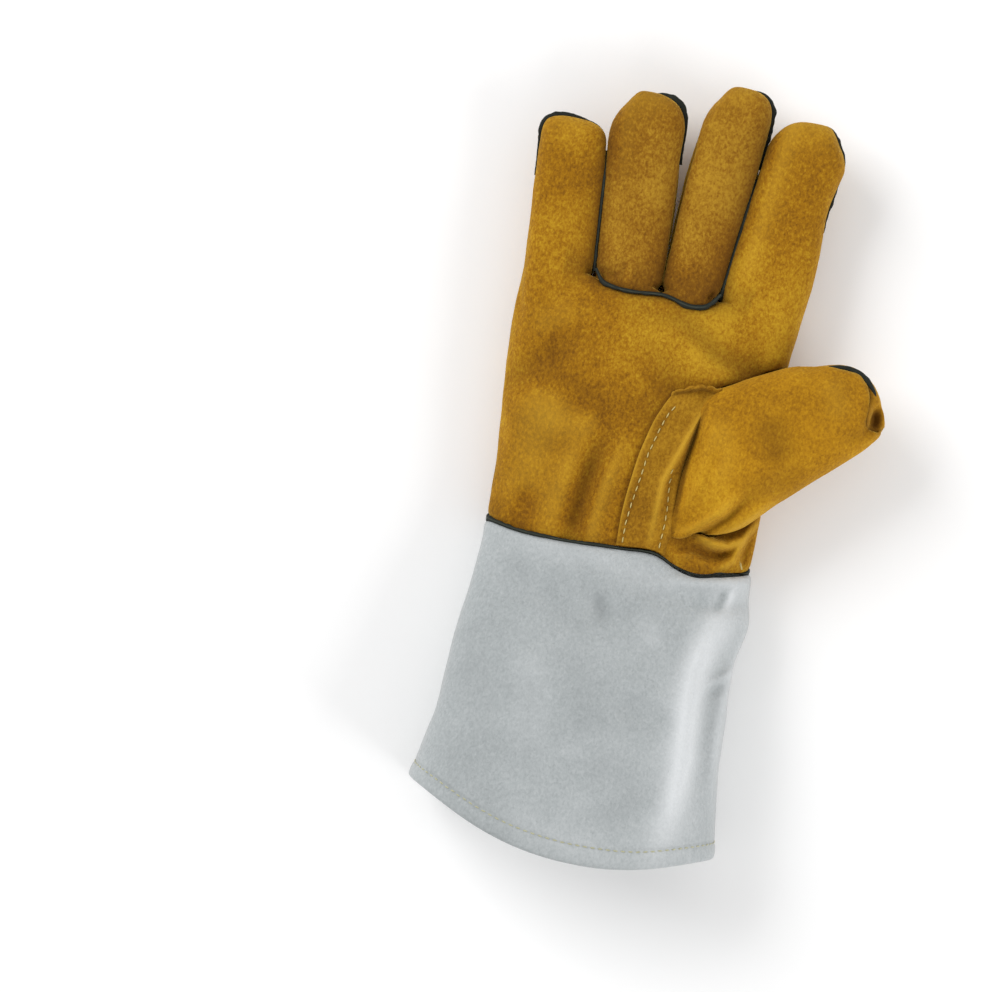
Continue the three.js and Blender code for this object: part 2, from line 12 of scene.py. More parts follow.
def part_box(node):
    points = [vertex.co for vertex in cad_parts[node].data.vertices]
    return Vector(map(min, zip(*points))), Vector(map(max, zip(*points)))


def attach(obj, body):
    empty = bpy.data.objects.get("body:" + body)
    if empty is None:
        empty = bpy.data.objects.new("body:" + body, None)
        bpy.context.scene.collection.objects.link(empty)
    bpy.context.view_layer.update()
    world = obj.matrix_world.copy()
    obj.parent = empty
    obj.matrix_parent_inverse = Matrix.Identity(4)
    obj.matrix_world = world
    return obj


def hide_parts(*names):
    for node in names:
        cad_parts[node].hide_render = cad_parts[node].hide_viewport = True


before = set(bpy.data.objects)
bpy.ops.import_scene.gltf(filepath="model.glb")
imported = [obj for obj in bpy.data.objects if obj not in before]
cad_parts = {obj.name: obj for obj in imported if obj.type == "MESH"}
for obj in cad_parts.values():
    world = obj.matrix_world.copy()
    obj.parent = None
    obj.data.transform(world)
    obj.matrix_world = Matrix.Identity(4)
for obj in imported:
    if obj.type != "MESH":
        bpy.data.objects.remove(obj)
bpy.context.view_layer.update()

# The glove is shaped in millimetres from the middle of the joint of hand and cuff, +Y towards the
# fingertips, +X towards the thumb, +Z out of the palm.
MM = 0.001
JOINT_LOW, JOINT_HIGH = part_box("cuff_welt")
JOINT_WELT = 2.8
JOINT_EDGE = 0.75
ORIGIN = np.array([(JOINT_LOW[0] + JOINT_HIGH[0]) / 2, JOINT_HIGH[1] - JOINT_WELT / 2 * MM, 0.0])

HAND_WALL = 1.8
CUFF_WALL = 1.6
PALM = 116.0
WRIST = 122.0
WRIST_DEPTH = 40.0
KNUCKLE_DEPTH = 37.0
PALM_SWELL = 6.5
JOINT_DIP = 6.0
KNUCKLE_DIP = 4.4
FINGER_GAP = 1.3
FINGER_ROOT = 26.0
FINGER_CURL = 13.0
FOURCHETTE = 14.0
FOURCHETTE_DROP = 3.5
LONGEST = 97.0
CUFF = 145.0
LITTLE_FLARE = 14.0
THUMB_FLARE = 10.0
HEM_DEPTH = 68.0
HEM_BOW = 21.0
HEM_RISE = 3.0
HEM_FOLD = 9.0
THUMB_REACH = 89.5
THUMB_WIDTH = 71.0
THUMB_DEPTH = 44.0
THUMB_ROOT = np.array([24.0, 42.5])
THUMB_HEIGHT = 34.5
THUMB_TURN = math.radians(25.8)
THUMB_AXIS = np.array([math.cos(THUMB_TURN), math.sin(THUMB_TURN)])
THUMB_SIDE = np.array([-THUMB_AXIS[1], THUMB_AXIS[0]])
STRAP_WALL = 1.4
# The cells of the remeshed skins, the side seam's height in shares of the depth, and the lowest point
VOXEL = 1.0
SIDE_SEAM = 0.43
LOWEST = 0.05
# The index finger's size, how far all are slimmed till the skin is made, and their distance from a gap
FINGER_WIDTH = 38.0
FINGER_DEPTH = 28.0
FINGER_SLIM = 1.3
FINGER_TOUCH = 0.3
# Where the trunk starts, and where hand and thumb are cut: outside the thumb's skin, inside the hand's
TRUNK_START = -9.0
THUMB_GAP = 0.1
THUMB_INSET = 2.2
# How far a panel's edge is drawn back, the hem's radius, and the turns of the cuff's seam and stitches
SEAM_GAP = 0.14
HEM_ROUND = 1.7
CUFF_SEAM_TURN = math.radians(-24)
CUFF_STITCH_TURN = CUFF_SEAM_TURN + math.radians(-5.5)

# Distance along the palm, and how far it has spread, drawn in at the thumb, swollen and closed there
PALM_ROWS = np.array([
    (0, 0, 0, 0, 1),
    (0.13, 0.09, 0.004, 0.15, 1),
    (0.29, 0.28, 0.008, 0.58, 1),
    (0.46, 0.55, 0.014, 0.97, 1),
    (0.63, 0.84, 0.02, 0.95, 1),
    (0.79, 1.02, 0.02, 0.68, 1),
    (0.92, 1.02, 0.005, 0.25, 0.98),
    (1, 0.985, 0, 0, 0.87),
])

# Distance along the cuff, the flare of its little-finger side and thumb side, and its rise
CUFF_ROWS = np.array([
    (0, 0, 0, 0),
    (0.08, 0.01, 0.16, 0.05),
    (0.16, 0.05, 0.4, 0.15),
    (0.28, 0.18, 0.1, 0.33),
    (0.43, 0.3, 0.2, 0.56),
    (0.6, 0.36, 0.37, 0.75),
    (0.76, 0.6, 0.7, 0.89),
    (0.88, 0.9, 0.93, 0.96),
    (1, 1, 1, 1),
])

# Distance along the thumb, its offset, width, depth and lift there, and its turn in degrees
THUMB_ROWS = np.array([
    (-0.08, 0.01, 0.84, 0.36, -0.1, -6),
    (0, 0, 0.95, 0.6, 0, -5),
    (0.14, -0.018, 1, 0.92, 0, -2),
    (0.32, -0.014, 1, 1, 0, 2),
    (0.49, 0.037, 0.873, 0.95, 0.01, 6),
    (0.65, 0.063, 0.72, 0.86, 0.02, 12),
    (0.8, 0.085, 0.61, 0.74, 0.03, 17),
    (0.9, 0.083, 0.49, 0.6, 0.03, 21),
    (0.965, 0.054, 0.33, 0.4, 0.03, 22),
    (1, 0.01, 0.16, 0.2, 0.03, 20),
])

# How far the joint sags towards the hem, across the wrist
SAG_ROWS = np.array([
    (-0.55, 0), (-0.4, 0.42), (-0.25, 0.5), (0, 0.2), (0.14, 0.1),
    (0.22, 0.75), (0.3, 1), (0.38, 0.67), (0.55, 0),
])

# How far the seam under the ring and middle fingers dips, between its ends
KNUCKLE_ROWS = np.array([
    (0, -0.9), (0.05, 0.1), (0.16, 0.68), (0.32, 0.77), (0.56, 0.45),
    (0.82, 1), (0.93, 0.45), (1, -0.9),
])

# Where the front of the thumb ends at its tip: place across, and distance along
THUMB_TIP_ROWS = np.array([
    (-0.2, 1.15), (-0.12, 1.02), (-0.08, 0.955), (-0.05, 0.905), (0.03, 0.909), (0.1, 0.935),
    (0.17, 0.953), (0.235, 0.948), (0.31, 0.918), (0.38, 0.82), (0.46, 0.72),
])

# The four fingers, from the little one on: sizes, and how many degrees each leans towards the thumb
FINGERS = [
    dict(name="little", width=0.82 * FINGER_WIDTH, swell=0.98, length=0.706 * LONGEST,
         depth=0.93 * FINGER_DEPTH, dome=15, lean=-5.2),
    dict(name="ring", width=0.785 * FINGER_WIDTH, swell=1.11, length=0.897 * LONGEST,
         depth=0.965 * FINGER_DEPTH, dome=20, lean=-4.3),
    dict(name="middle", width=0.668 * FINGER_WIDTH, swell=1.16, length=LONGEST,
         depth=0.965 * FINGER_DEPTH, dome=19, lean=2.9),
    dict(name="index", width=FINGER_WIDTH, swell=0.96, length=0.907 * LONGEST,
         depth=FINGER_DEPTH, dome=17, lean=4.6),
]
KNUCKLE_LEFT = -0.561 * WRIST
KNUCKLE_RIGHT = KNUCKLE_LEFT + sum(f["width"] for f in FINGERS) + 3 * FINGER_GAP
edge_x = KNUCKLE_LEFT
for row in FINGERS:
    row["root"] = edge_x + row["width"] / 2
    edge_x += row["width"] + FINGER_GAP

# Distance back from a fingertip, and how far its little-finger side and thumb side are drawn in there
TIP_ROWS = {
    "little": np.array([(0, -1.5, -2), (2.5, -2, -2), (6, -1, -1.2), (11, 0, -0.3), (18, 0, -1), (40, 0, -1),
                        (70, 0, -1)]),
    "ring": np.array([(0, 0, 0), (2.5, 2.4, -1), (6, 3.2, -1), (11, 2, -0.6), (17, 0.2, 0), (25, -1, 0.2),
                      (45, -1, -1.2), (70, -1, -1.8), (90, -1, -1.8)]),
    "middle": np.array([(0, 0, 0), (2.5, 2, -1), (6, 3, -1), (11, 1.8, -0.5), (18, 0, -0.3), (32, -0.6, -1),
                        (52, -1.6, -1.2), (75, -1.8, -1.2), (97, -1.8, -1.2)]),
    "index": np.array([(0, 0, 1), (3, 0.4, 4.2), (7, 0.3, 4.8), (12, -0.4, 2.8), (18, -1, 0.6),
                       (26, -1.7, 1.4), (37, -2, 2.4), (50, -2, 1.4), (64, -2, 0), (90, -2, 0)]),
}

# Folds and dents of the palm side: the line that each follows, its half width and its height
HAND_FOLDS = [
    ([(-22, -4), (-21.5, 8), (-20.5, 25), (-17, 50)], 5.2, -4.2),
    ([(-14, -4), (-14.5, 8), (-13, 24), (-8, 46)], 4.2, 2.6),
    ([(-34, -4), (-31, 22), (-27, 44)], 5.5, 1.8),
    ([(-48, -4), (-45, 18)], 5.0, -1.6),
    ([(3, 107), (14, 99), (25, 93), (38, 89), (52, 91)], 5.5, -2.6),
    ([(8, 100), (20, 88), (34, 82)], 5.0, 1.2),
    ([(-68, 58), (-54, 71), (-38, 86)], 7.5, -2.2),
    ([(-60, 88), (-40, 100)], 7.0, 1.2),
    ([(-5, 52), (2, 66), (6, 80)], 8.0, -1.5),
    ([(28, 14), (36, 11), (41, 9.4), (47.4, 9.8), (53, 14), (59.5, 25)], 2.3, 5.0),
    ([(30, 7), (38, 4.0), (46, 4.6), (50, 8)], 2.4, -3.6),
    ([(32, 21), (37, 15), (42, 10.5)], 1.8, 1.8),
    ([(54, 13), (50.5, 4), (45, -2)], 1.9, 3.4),
    ([(27, 1), (33, 2.5), (40, 0)], 1.6, 1.6),
    ([(24, 3.5), (31, 5), (36, 2)], 1.6, -1.8),
    ([(21, 10), (25, 11.5), (30, 11)], 1.5, 1.8),
    ([(24, 6), (30, 7)], 2.0, -2.2),
    ([(56.5, 1), (56, 8), (58, 18)], 1.8, -2.4),
    ([(-34.5, 121), (-30, 118.5), (-26, 118)], 1.2, -1.4),
]

# Painted light, shade and sheen on the palm, where its nap looks brushed light or dark: line, half width,
# tone
HAND_LIGHTS = [
    ([(-50, 2), (-47, 25), (-48, 50), (-50, 70)], 12.0, 0.42),
    ([(-50, 52), (-32, 48), (-14, 50)], 7.0, 0.32),
    ([(-54, 68), (-38, 67), (-22, 60)], 5.5, -0.34),
    ([(-8, 90), (8, 76), (16, 66)], 6.0, -0.22),
    ([(-30, 108), (-4, 104), (14, 106)], 5.0, -0.22),
    ([(36, 96), (44, 80), (48, 70)], 6.0, -0.2),
]

# Folds of the thumb
THUMB_FOLDS = [
    ([(50, 70), (58, 60), (64, 50)], 8.0, -2.6),
    ([(30, 66), (36, 50), (38, 34)], 6.0, 1.4),
    ([(27, 58), (26, 44), (27, 30)], 2.0, -0.9),
    ([(44, 32), (56, 36), (70, 46)], 6.0, -1.4),
    ([(74, 92), (80, 84), (82, 74)], 6.0, 1.2),
    ([(88, 66), (94, 70), (99, 73)], 3.5, -1.4),
    ([(22, 11), (30, 14), (40, 24), (46, 34)], 2.0, 2.4),
    ([(26, 9), (34, 12), (44, 22), (51, 32)], 1.7, -2.8),
    ([(34, 10), (44, 14), (54, 24), (60, 32)], 2.0, 2.4),
    ([(48, 12), (56, 20), (62, 28)], 1.7, -2.2),
    ([(24, 20), (27, 34), (27, 46), (30, 60)], 2.0, 1.0),
    ([(30, 24), (32, 40), (36, 54)], 2.4, -0.8),
    ([(93, 91), (96.0, 84), (96.8, 78), (98.4, 73.8), (102.5, 72.4), (105.5, 74.5)], 1.2, 1.3),
]

# Dents and lobes at the tip of the thumb: middle, radius and height
THUMB_DENTS = [
    ((99.4, 83.5), 1.9, -1.6), ((105.6, 87.5), 4.2, -1.7), ((107.8, 79.5), 3.4, -1.7),
    ((95.2, 79.0), 2.2, 0.8), ((99.8, 72.8), 2.2, 1.0),
]

# Where the thumb's form gives way towards the palm: middle, radius and how far it moves back
THUMB_GIVES = [((33, 67), 13, (5.6, 0)), ((26, 15), 9, (4.5, 4.5))]

# The hollow where the thumb's root sinks into the hand: middle, half widths and depth
THUMB_HOLLOW = ((22, 12), (12, 16), 6.5)

# The small opening at the thumb's tip: middle, half widths and the push that opens it
THUMB_PIT = ((100.2, 78.6), (2.5, 4.4), (1.2, 0, 6.5))

# The crease between the thumb and the strap
THUMB_CREASE = [
    (22.1, 8), (21.0, 22.1), (20.9, 31.8), (20.9, 38.7), (21.3, 48.6), (22.6, 58.7), (24.5, 69.5),
]

# Folds of the cuff
CUFF_FOLDS = [
    ([(50, -18), (46, -34), (43.5, -47.5), (43.6, -64.3), (45.8, -86.3), (45.5, -108.9), (46, -122)],
     5.8, 4.8),
    ([(60, -27.3), (54.5, -45.2), (53.6, -62.3), (53.8, -73.5), (55, -84.4), (57, -104)], 3.8, -2.2),
    ([(64, -34), (60.5, -50), (60, -66), (61, -84), (64, -104)], 2.8, 2.4),
    ([(50, -53.5), (57, -48.5), (62.5, -44)], 1.7, 1.7),
    ([(51, -58), (60, -51)], 2.4, -1.0),
    ([(20, -12), (38.5, -9), (60, -5)], 3.0, 1.9),
    ([(34, -19), (50, -17), (63, -15)], 3.6, -2.4),
    ([(-4, -24), (-1, -36)], 6.0, -1.6),
    ([(14, -62), (26, -70), (40, -76)], 8.0, -2.4),
    ([(12, -58), (24, -62), (38, -66)], 4.0, 1.0),
    ([(14, -123), (24, -117), (36, -104)], 7.0, -2.4),
    ([(36, -118), (40, -100), (41, -88)], 5.0, -1.6),
    ([(-55, -60), (-40, -92)], 11.0, -1.8),
    ([(-30, -50), (-22, -100)], 12.0, 1.5),
    ([(-48, -20), (-20, -32)], 8.0, -1.0),
]

# Painted highlights, shade and sheen of the brushed nap on the cuff: the line that each follows, its half
# width and its tone
CUFF_LIGHTS = [
    ([(60, 16), (52, -24), (46, -47), (45, -64), (46, -86), (44, -109), (42, -136)], 8.0, 0.42),
    ([(60, 20), (58, -20), (53, -60), (50, -100), (50, -150)], 16.0, 0.3),
    ([(-5, -22), (-3.5, -28), (-1, -34)], 2.6, -0.6),
    ([(51, -10), (48.5, -20)], 1.8, -0.7),
    ([(54.5, -9), (53, -18)], 1.6, 0.5),
    ([(-48, -13), (-38, -25)], 4.5, -0.16),
    ([(18, -30), (26, -42)], 5.0, 0.2),
    ([(-50, -8), (-10, -6), (30, -14)], 7.0, 0.2),
    ([(-20, -40), (0, -70), (12, -90)], 12.0, -0.16),
    ([(-58, -40), (-60, -80)], 6.0, -0.12),
    ([(4, -96), (30, -100)], 7.0, -0.16),
    ([(-30, -126), (20, -134)], 6.0, 0.16),
]

# The strap: its two sides, the ridge along it, the edge of its lip and its two rows of stitches
STRAP_LEFT = [(-2.0, 0.2), (-2.9, 11.8), (-2.3, 24.3), (-0.8, 41.5), (2.8, 59.1), (9.0, 72.4)]
STRAP_RIGHT = [
    (21.4, -1.0), (22.4, 11.5), (22.0, 24.8), (21.0, 39.1), (21.8, 52.7), (23.8, 61), (27.6, 69.6),
    (32.5, 77.5),
]
STRAP_RIDGE = [(12.3, 4), (12.5, 31.9), (15.2, 40.4), (19.9, 54.9), (27, 74.3)]
STRAP_LIP = [(9.5, 71.2), (15, 73.6), (22, 76), (27, 75.2)]
STRAP_STITCHES = [
    [(0.5, 0.8), (0.2, 10.3), (0.8, 18.2), (2.0, 28.6), (3.5, 42.4), (6.4, 55.3), (8.5, 61.4), (11.3, 66.5)],
    [(17.1, 1.6), (17.4, 13.9), (16.9, 21.7), (15.6, 30.4), (15.1, 39.2)],
]

# How a seam draws the leather in: half width and depth
SEAM_LOOK = ((1.0, 0.75), (3.2, 0.45))

# Where seams gather the leather: a place and how strongly
CROTCH_PUCKERS = np.array([(-35, 118, 18, 0.75), (-4.5, 116, 18, 0.75), (18, 117, 18, 0.75)])
THUMB_PUCKERS = np.array([(98, 78, 46, 0.2), (93, 91, 46, 0.3)])

PANELS = ["back_panel", "palm_panel", "ring_front", "middle_front",
          "fourchette_little_ring", "fourchette_ring_middle", "fourchette_middle_index"]
THUMB_PANELS = ["thumb_front", "thumb_back"]

# The joint's welt: its width on the palm's side, across the wrist, and its width in the back
JOINT_WELT_PLACES = (-0.5, -0.35, -0.1, 0, 0.2, 0.3, 0.5)
JOINT_WELT_WIDTHS = (2.0, 1.6, 1.5, 1.0, 1.3, 0.6, 0.3)
JOINT_WELT_BACK = 4.2

# The other welts: widths along each, and how far it stands out
KNUCKLE_WELT = ([1.3, 2.1, 2.0, 1.7, 1.9, 2.3, 2.2, 1.4], [0.5, 0.9, 0.9, 0.8, 0.9, 1.0, 0.9, 0.5])
THUMB_WELT = ([1.4, 2.8, 3.6, 3.8, 3.4, 2.6, 1.0], [0.6, 1.3, 1.7, 1.7, 1.5, 1.0, 0.3])
THUMB_WELT_LINE = [
    (73, 98.6), (77.5, 99.9), (82.8, 101.4), (88.3, 99.7), (92.9, 95.4), (95.8, 90.5), (97, 86.5),
]

# The welts in the gaps beside the ring and middle fingers: the gap, where each starts and ends, its widths
GAP_WELTS = [
    ("gap_welt_left", 0, PALM + 2.5, PALM + 57, [1.7, 1.5, 1.6, 1.8, 1.6]),
    ("gap_welt_right", 2, PALM + 1.5, PALM + 58, [2.0, 1.8, 1.9, 2.4, 2.6]),
]
GAP_WELT_PROUD = 0.6

# For each fingertip: how far the welt runs down its two sides, its widths and how far it stands out
TIP_WELTS = {
    "little": (38, 15, [1.0, 1.1, 1.5, 2.4, 2.8, 2.6, 2.0, 1.4], [1.2, 1.3, 1.7, 2.6, 3.2, 2.6, 1.4, 0.9]),
    "ring": (-2, 41, [0.8, 3.0, 3.2, 2.0, 1.5, 1.3, 1.8], [0.4, 2.8, 3.4, 2.0, 1.6, 1.5, 1.8]),
    "middle": (-3, 44, [0.8, 2.8, 2.8, 2.4, 2.6, 2.2, 1.4], [0.4, 2.4, 3.0, 2.6, 2.8, 2.2, 1.4]),
    "index": (-4, 56, [1.4, 2.2, 2.0, 1.2, 1.0, 1.6, 1.3, 1.0], [1.3, 2.6, 2.2, 0.8, 0.9, 1.9, 1.6, 1.2]),
}

# Sizes of the blotches, clouds, flecks and nap of the leather
BLOTCH = 42
CLOUD = 14
FLECK = 1.1
NAP = 0.65

CAMERA_HEIGHT = 1.8
CAMERA_OVER = (-59.1, 10.1, 20)
CAMERA_TURN = math.radians(12)
SENSOR = 36
VIEW_WIDTH = 0.4495


def smooth(rows, column, at):
    """Values on a smooth curve through a column of a table."""
    places, values = rows[:, 0], rows[:, column]
    slopes = np.gradient(values, places)
    at = np.clip(at, places[0], places[-1])
    i = np.clip(np.searchsorted(places, at) - 1, 0, len(places) - 2)
    run = places[i + 1] - places[i]
    t = (at - places[i]) / run
    near = (2 * t ** 3 - 3 * t ** 2 + 1) * values[i] + (t ** 3 - 2 * t ** 2 + t) * run * slopes[i]
    return near + (3 * t ** 2 - 2 * t ** 3) * values[i + 1] + (t ** 3 - t ** 2) * run * slopes[i + 1]


def step(at, low, high):
    """0 below low, 1 above high, and a soft rise between them."""
    t = np.clip((at - low) / (high - low), 0, 1)
    return t * t * (3 - 2 * t)


def mix(a, b, t):
    return a + (b - a) * t


def oval(turn, upper, lower):
    """Across and up on a squared oval, as shares of its half sizes."""
    c, s = np.cos(turn), np.sin(turn)
    power = 2 / np.where(s > 0, upper, lower)
    return np.sign(c) * np.abs(c) ** power, np.sign(s) * np.abs(s) ** power


def joint_y(x, z):
    return -smooth(SAG_ROWS, 1, x / WRIST) * JOINT_DIP * step(z, 0.3 * WRIST_DEPTH, 0.9 * WRIST_DEPTH)


def seam_height(y):
    """Height of the side seams."""
    on_cuff = mix(SIDE_SEAM * WRIST_DEPTH, SIDE_SEAM * HEM_DEPTH, smooth(CUFF_ROWS, 3, -y / CUFF))
    curl = np.maximum(0, y - PALM) / LONGEST
    on_palm = mix(SIDE_SEAM * WRIST_DEPTH, 0.5 * KNUCKLE_DEPTH, np.clip(y / PALM, 0, 1))
    on_hand = on_palm + FINGER_CURL * curl ** 2
    return np.where(y < 0, on_cuff, on_hand)


def trunk(y, turn):
    """Points of the hollow of hand and cuff, which the ground presses flat."""
    c = [smooth(CUFF_ROWS, i, -y / CUFF) for i in range(4)]
    p = [smooth(PALM_ROWS, i, y / PALM) for i in range(5)]
    cuff = y < 0
    height = mix(WRIST_DEPTH, KNUCKLE_DEPTH, y / PALM) + PALM_SWELL * p[3]
    shut = height * (1 - p[4]) / 2
    left = np.where(cuff, -WRIST / 2 - c[1] * LITTLE_FLARE, mix(-WRIST / 2, KNUCKLE_LEFT, p[1]))
    palm_right = mix(WRIST / 2, KNUCKLE_RIGHT, p[1]) - p[2] * WRIST
    right = np.where(cuff, WRIST / 2 + c[2] * THUMB_FLARE, palm_right)
    top = np.where(cuff, mix(WRIST_DEPTH, HEM_DEPTH, c[3]), height - shut)
    bottom = np.where(cuff, 0, shut)
    across, up = oval(turn, 2.4, 3.6)
    side = seam_height(y)
    x = (left + right) / 2 + across * (right - left) / 2
    z = side + up * np.where(up > 0, top - side, 1.07 * (side - bottom))
    return np.stack([x, y + 0 * x, np.maximum(bottom, z)], axis=-1)


def finger_at(f, beyond):
    """Middle, half width and half depth of a finger at a distance beyond the crotches."""
    share = np.maximum(0, beyond / f["length"])
    into = np.clip((beyond - f["length"] + f["dome"]) / f["dome"], 0, 1)
    dome = (1 - into ** 2.5) ** (1 / 2.5)
    depth = mix(0.9 * KNUCKLE_DEPTH, f["depth"], step(beyond, -0.3 * FINGER_ROOT, 1.1 * FINGER_ROOT))
    middle = f["root"] + beyond * math.tan(math.radians(f["lean"]))
    return middle, f["width"] / 2 * mix(1, f["swell"], step(share, 0, 0.7)) * dome, depth / 2 * dome


def drawn_in(f, beyond, side):
    """How far towards the thumb a place on a finger moves; side is -1 to 1 across it."""
    from_tip = f["length"] - beyond
    rows = TIP_ROWS[f["name"]]
    left, right = (smooth(rows, i, from_tip) for i in (1, 2))
    return np.where(side < 0, -left, -right) * np.clip(side, -1, 1) * step(beyond, -1, 5)


def gap_x(i, y):
    """Middle of the gap between a finger and the next."""
    at = 0.5 * FINGERS[i]["length"]
    a, b, c, d = (finger_at(FINGERS[j], e) for j, e in ((i, 0.0), (i + 1, 0.0), (i, at), (i + 1, at)))
    near, away = (a[0] + a[1] + b[0] - b[1]) / 2, (c[0] + c[1] + d[0] - d[1]) / 2
    return mix(near, away, (y - PALM) / at)


def knuckle_y(x):
    start, end = gap_x(0, PALM), gap_x(2, PALM)
    return PALM - smooth(KNUCKLE_ROWS, 1, (x - start) / (end - start)) * KNUCKLE_DIP


def thumb_place(points):
    """Distance along the thumb and place across it, as shares of its reach and width."""
    d = points[:, :2] - THUMB_ROOT
    return d @ THUMB_AXIS / THUMB_REACH, d @ THUMB_SIDE / THUMB_WIDTH


def hem_y(x, z):
    middle = (THUMB_FLARE - LITTLE_FLARE) / 2 + 0.07 * WRIST
    share = np.abs(x - middle) / (0.6 * WRIST)
    rise = HEM_RISE * step(z, 0.5 * HEM_DEPTH, 0.95 * HEM_DEPTH)
    return -CUFF + HEM_BOW * np.minimum(1.2, share ** 2.1) + rise


def fold_heights(folds, points):
    """Height that the folds add at each point."""
    total = np.zeros(len(points))
    for line, half, height in folds:
        line = np.array(line, float)
        best = np.full(len(points), 1e9)
        at = np.zeros(len(points))
        for k, (a, b) in enumerate(zip(line[:-1], line[1:])):
            run = b - a
            t = np.clip((points[:, :2] - a) @ run / (run @ run), 0, 1)
            away = np.linalg.norm(points[:, :2] - a - t[:, None] * run, axis=1)
            nearer = away < best
            best = np.where(nearer, away, best)
            at = np.where(nearer, (k + t) / (len(line) - 1), at)
        taper = np.interp(at, (0, 0.25, 0.75, 1), (0.3, 1, 1, 0.3))
        total += height * taper * np.exp(-(best / half) ** 2)
    return total


def ripple(points, size, seed):
    """Smooth noise of about the given size, from -1 to 1."""
    shift = Vector((seed * 7.3, seed * 3.1, seed * 5.7))
    return np.array([noise.noise(Vector(p) / size + shift) for p in points])


def run_of(line):
    """Distance along a line of each of its points."""
    return np.concatenate([[0], np.cumsum(np.linalg.norm(np.diff(line, axis=0), axis=1))])


def values_along(values, line, at):
    """Values given at a line's points, at shares of its length."""
    line, values = np.array(line, float), np.array(values, float)
    run = run_of(line)
    return np.stack([np.interp(at * run[-1], run, values[:, i]) for i in range(values.shape[1])], axis=-1)


def along_line(line, at):
    """Points at shares of a line's length."""
    return values_along(line, line, at)


def length_of(line):
    return float(np.linalg.norm(np.diff(np.array(line, float), axis=0), axis=1).sum())


def softened(line, rounds):
    line = np.array(line, float)
    for _ in range(rounds):
        line[1:-1] = (line[:-2] + 2 * line[1:-1] + line[2:]) / 4
    return line


def away_from(points, line):
    """Distance of each point from a line seen from above."""
    return np.array([np.linalg.norm(line - p[:2], axis=1).min() for p in points])


def bell(points, spot, radius):
    """1 over a spot, fading round it."""
    return np.exp(-(np.linalg.norm(points[:, :2] - spot, axis=1) / radius) ** 2)


def ray_down(tree, x, y, start=120.0):
    """Height of a surface under a point, and its normal there."""
    spot, normal, _, _ = tree.ray_cast(Vector((x, y, start)), Vector((0, 0, -1)))
    return (spot.z, normal) if spot else (None, None)


def deselect():
    bpy.ops.object.select_all(action="DESELECT")


def pick(piece):
    deselect()
    piece.select_set(True)
    bpy.context.view_layer.objects.active = piece


def read(items, name):
    """A vector of every point or face of a mesh."""
    found = np.empty(3 * len(items))
    items.foreach_get(name, found)
    return found.reshape(-1, 3)


def points_of(piece):
    return (read(piece.data.vertices, "co") - ORIGIN) / MM


def normals_of(piece):
    return read(piece.data.vertices, "normal")


def centres_of(piece):
    return (read(piece.data.polygons, "center") - ORIGIN) / MM


def place(piece, points):
    piece.data.vertices.foreach_set("co", (points * MM + ORIGIN).ravel())
    piece.data.update()


def flat_grid(name, across, along):
    """A grid, and how far across and along it each point lies, as shares."""
    deselect()
    bpy.ops.mesh.primitive_grid_add(x_subdivisions=across, y_subdivisions=along, size=2)
    piece = bpy.context.object
    piece.name = piece.data.name = name
    shares = (read(piece.data.vertices, "co") + 1) / 2
    return piece, shares[:, 0], shares[:, 1]


def wrapped(name, around, along, skin):
    """A grid rolled into a closed form: skin(turn, share) gives its points."""
    piece, turn, share = flat_grid(name, around, along)
    place(piece, skin(turn * 2 * math.pi, share))
    bpy.ops.object.mode_set(mode="EDIT")
    bpy.ops.mesh.select_all(action="SELECT")
    bpy.ops.mesh.remove_doubles(threshold=1e-6)
    bpy.ops.mesh.normals_make_consistent(inside=False)
    bpy.ops.object.mode_set(mode="OBJECT")
    return piece


def apply(piece, kind, **settings):
    pick(piece)
    modifier = piece.modifiers.new(kind.lower(), kind)
    for key, value in settings.items():
        setattr(modifier, key, value)
    bpy.ops.object.modifier_apply(modifier=modifier.name)


def joined(pieces, name):
    pick(pieces[0])
    for other in pieces[1:]:
        other.select_set(True)
    bpy.ops.object.join()
    pieces[0].name = pieces[0].data.name = name
    return pieces[0]


def station(places, share):
    """The place of each ring, and 0 on the middle of an end cap."""
    i = np.round(share * (len(places) + 1)).astype(int)
    return places[np.clip(i - 1, 0, len(places) - 1)], np.where((i == 0) | (i == len(places) + 1), 0.0, 1.0)


def trunk_form():
    places = np.linspace(TRUNK_START, PALM, 56)

    def skin(turn, share):
        y, out = station(places, share)
        points = trunk(y, turn)
        middle = trunk(y, 0 * turn + math.pi / 2)
        middle[:, 2] = seam_height(y)
        return middle + (points - middle) * out[:, None]

    return wrapped("hand", 120, len(places) + 1, skin)


def slimming(f):
    """How much a finger is slimmed on its little-finger side and thumb side, to part it from the next."""
    return (0 if f is FINGERS[0] else FINGER_SLIM), (0 if f is FINGERS[-1] else FINGER_SLIM)


def finger_form(f):
    straight = np.linspace(-FINGER_ROOT, f["length"] - f["dome"], 26)
    dome = f["length"] - f["dome"] * (1 - np.sin(np.linspace(0, math.pi / 2, 14)[1:]))
    places = np.concatenate([straight, dome])
    left, right = slimming(f)

    def skin(turn, share):
        beyond, out = station(places, share)
        middle, half, depth = finger_at(f, beyond)
        across, up = oval(turn, 3.0, 2.6)
        slim = np.where(across > 0, right, left) * np.minimum(1, half / 6)
        x, y = middle + out * across * (half - slim), PALM + beyond
        return np.stack([x, y, seam_height(y) + out * up * depth], axis=-1)

    return wrapped(f["name"], 64, len(places) + 1, skin)


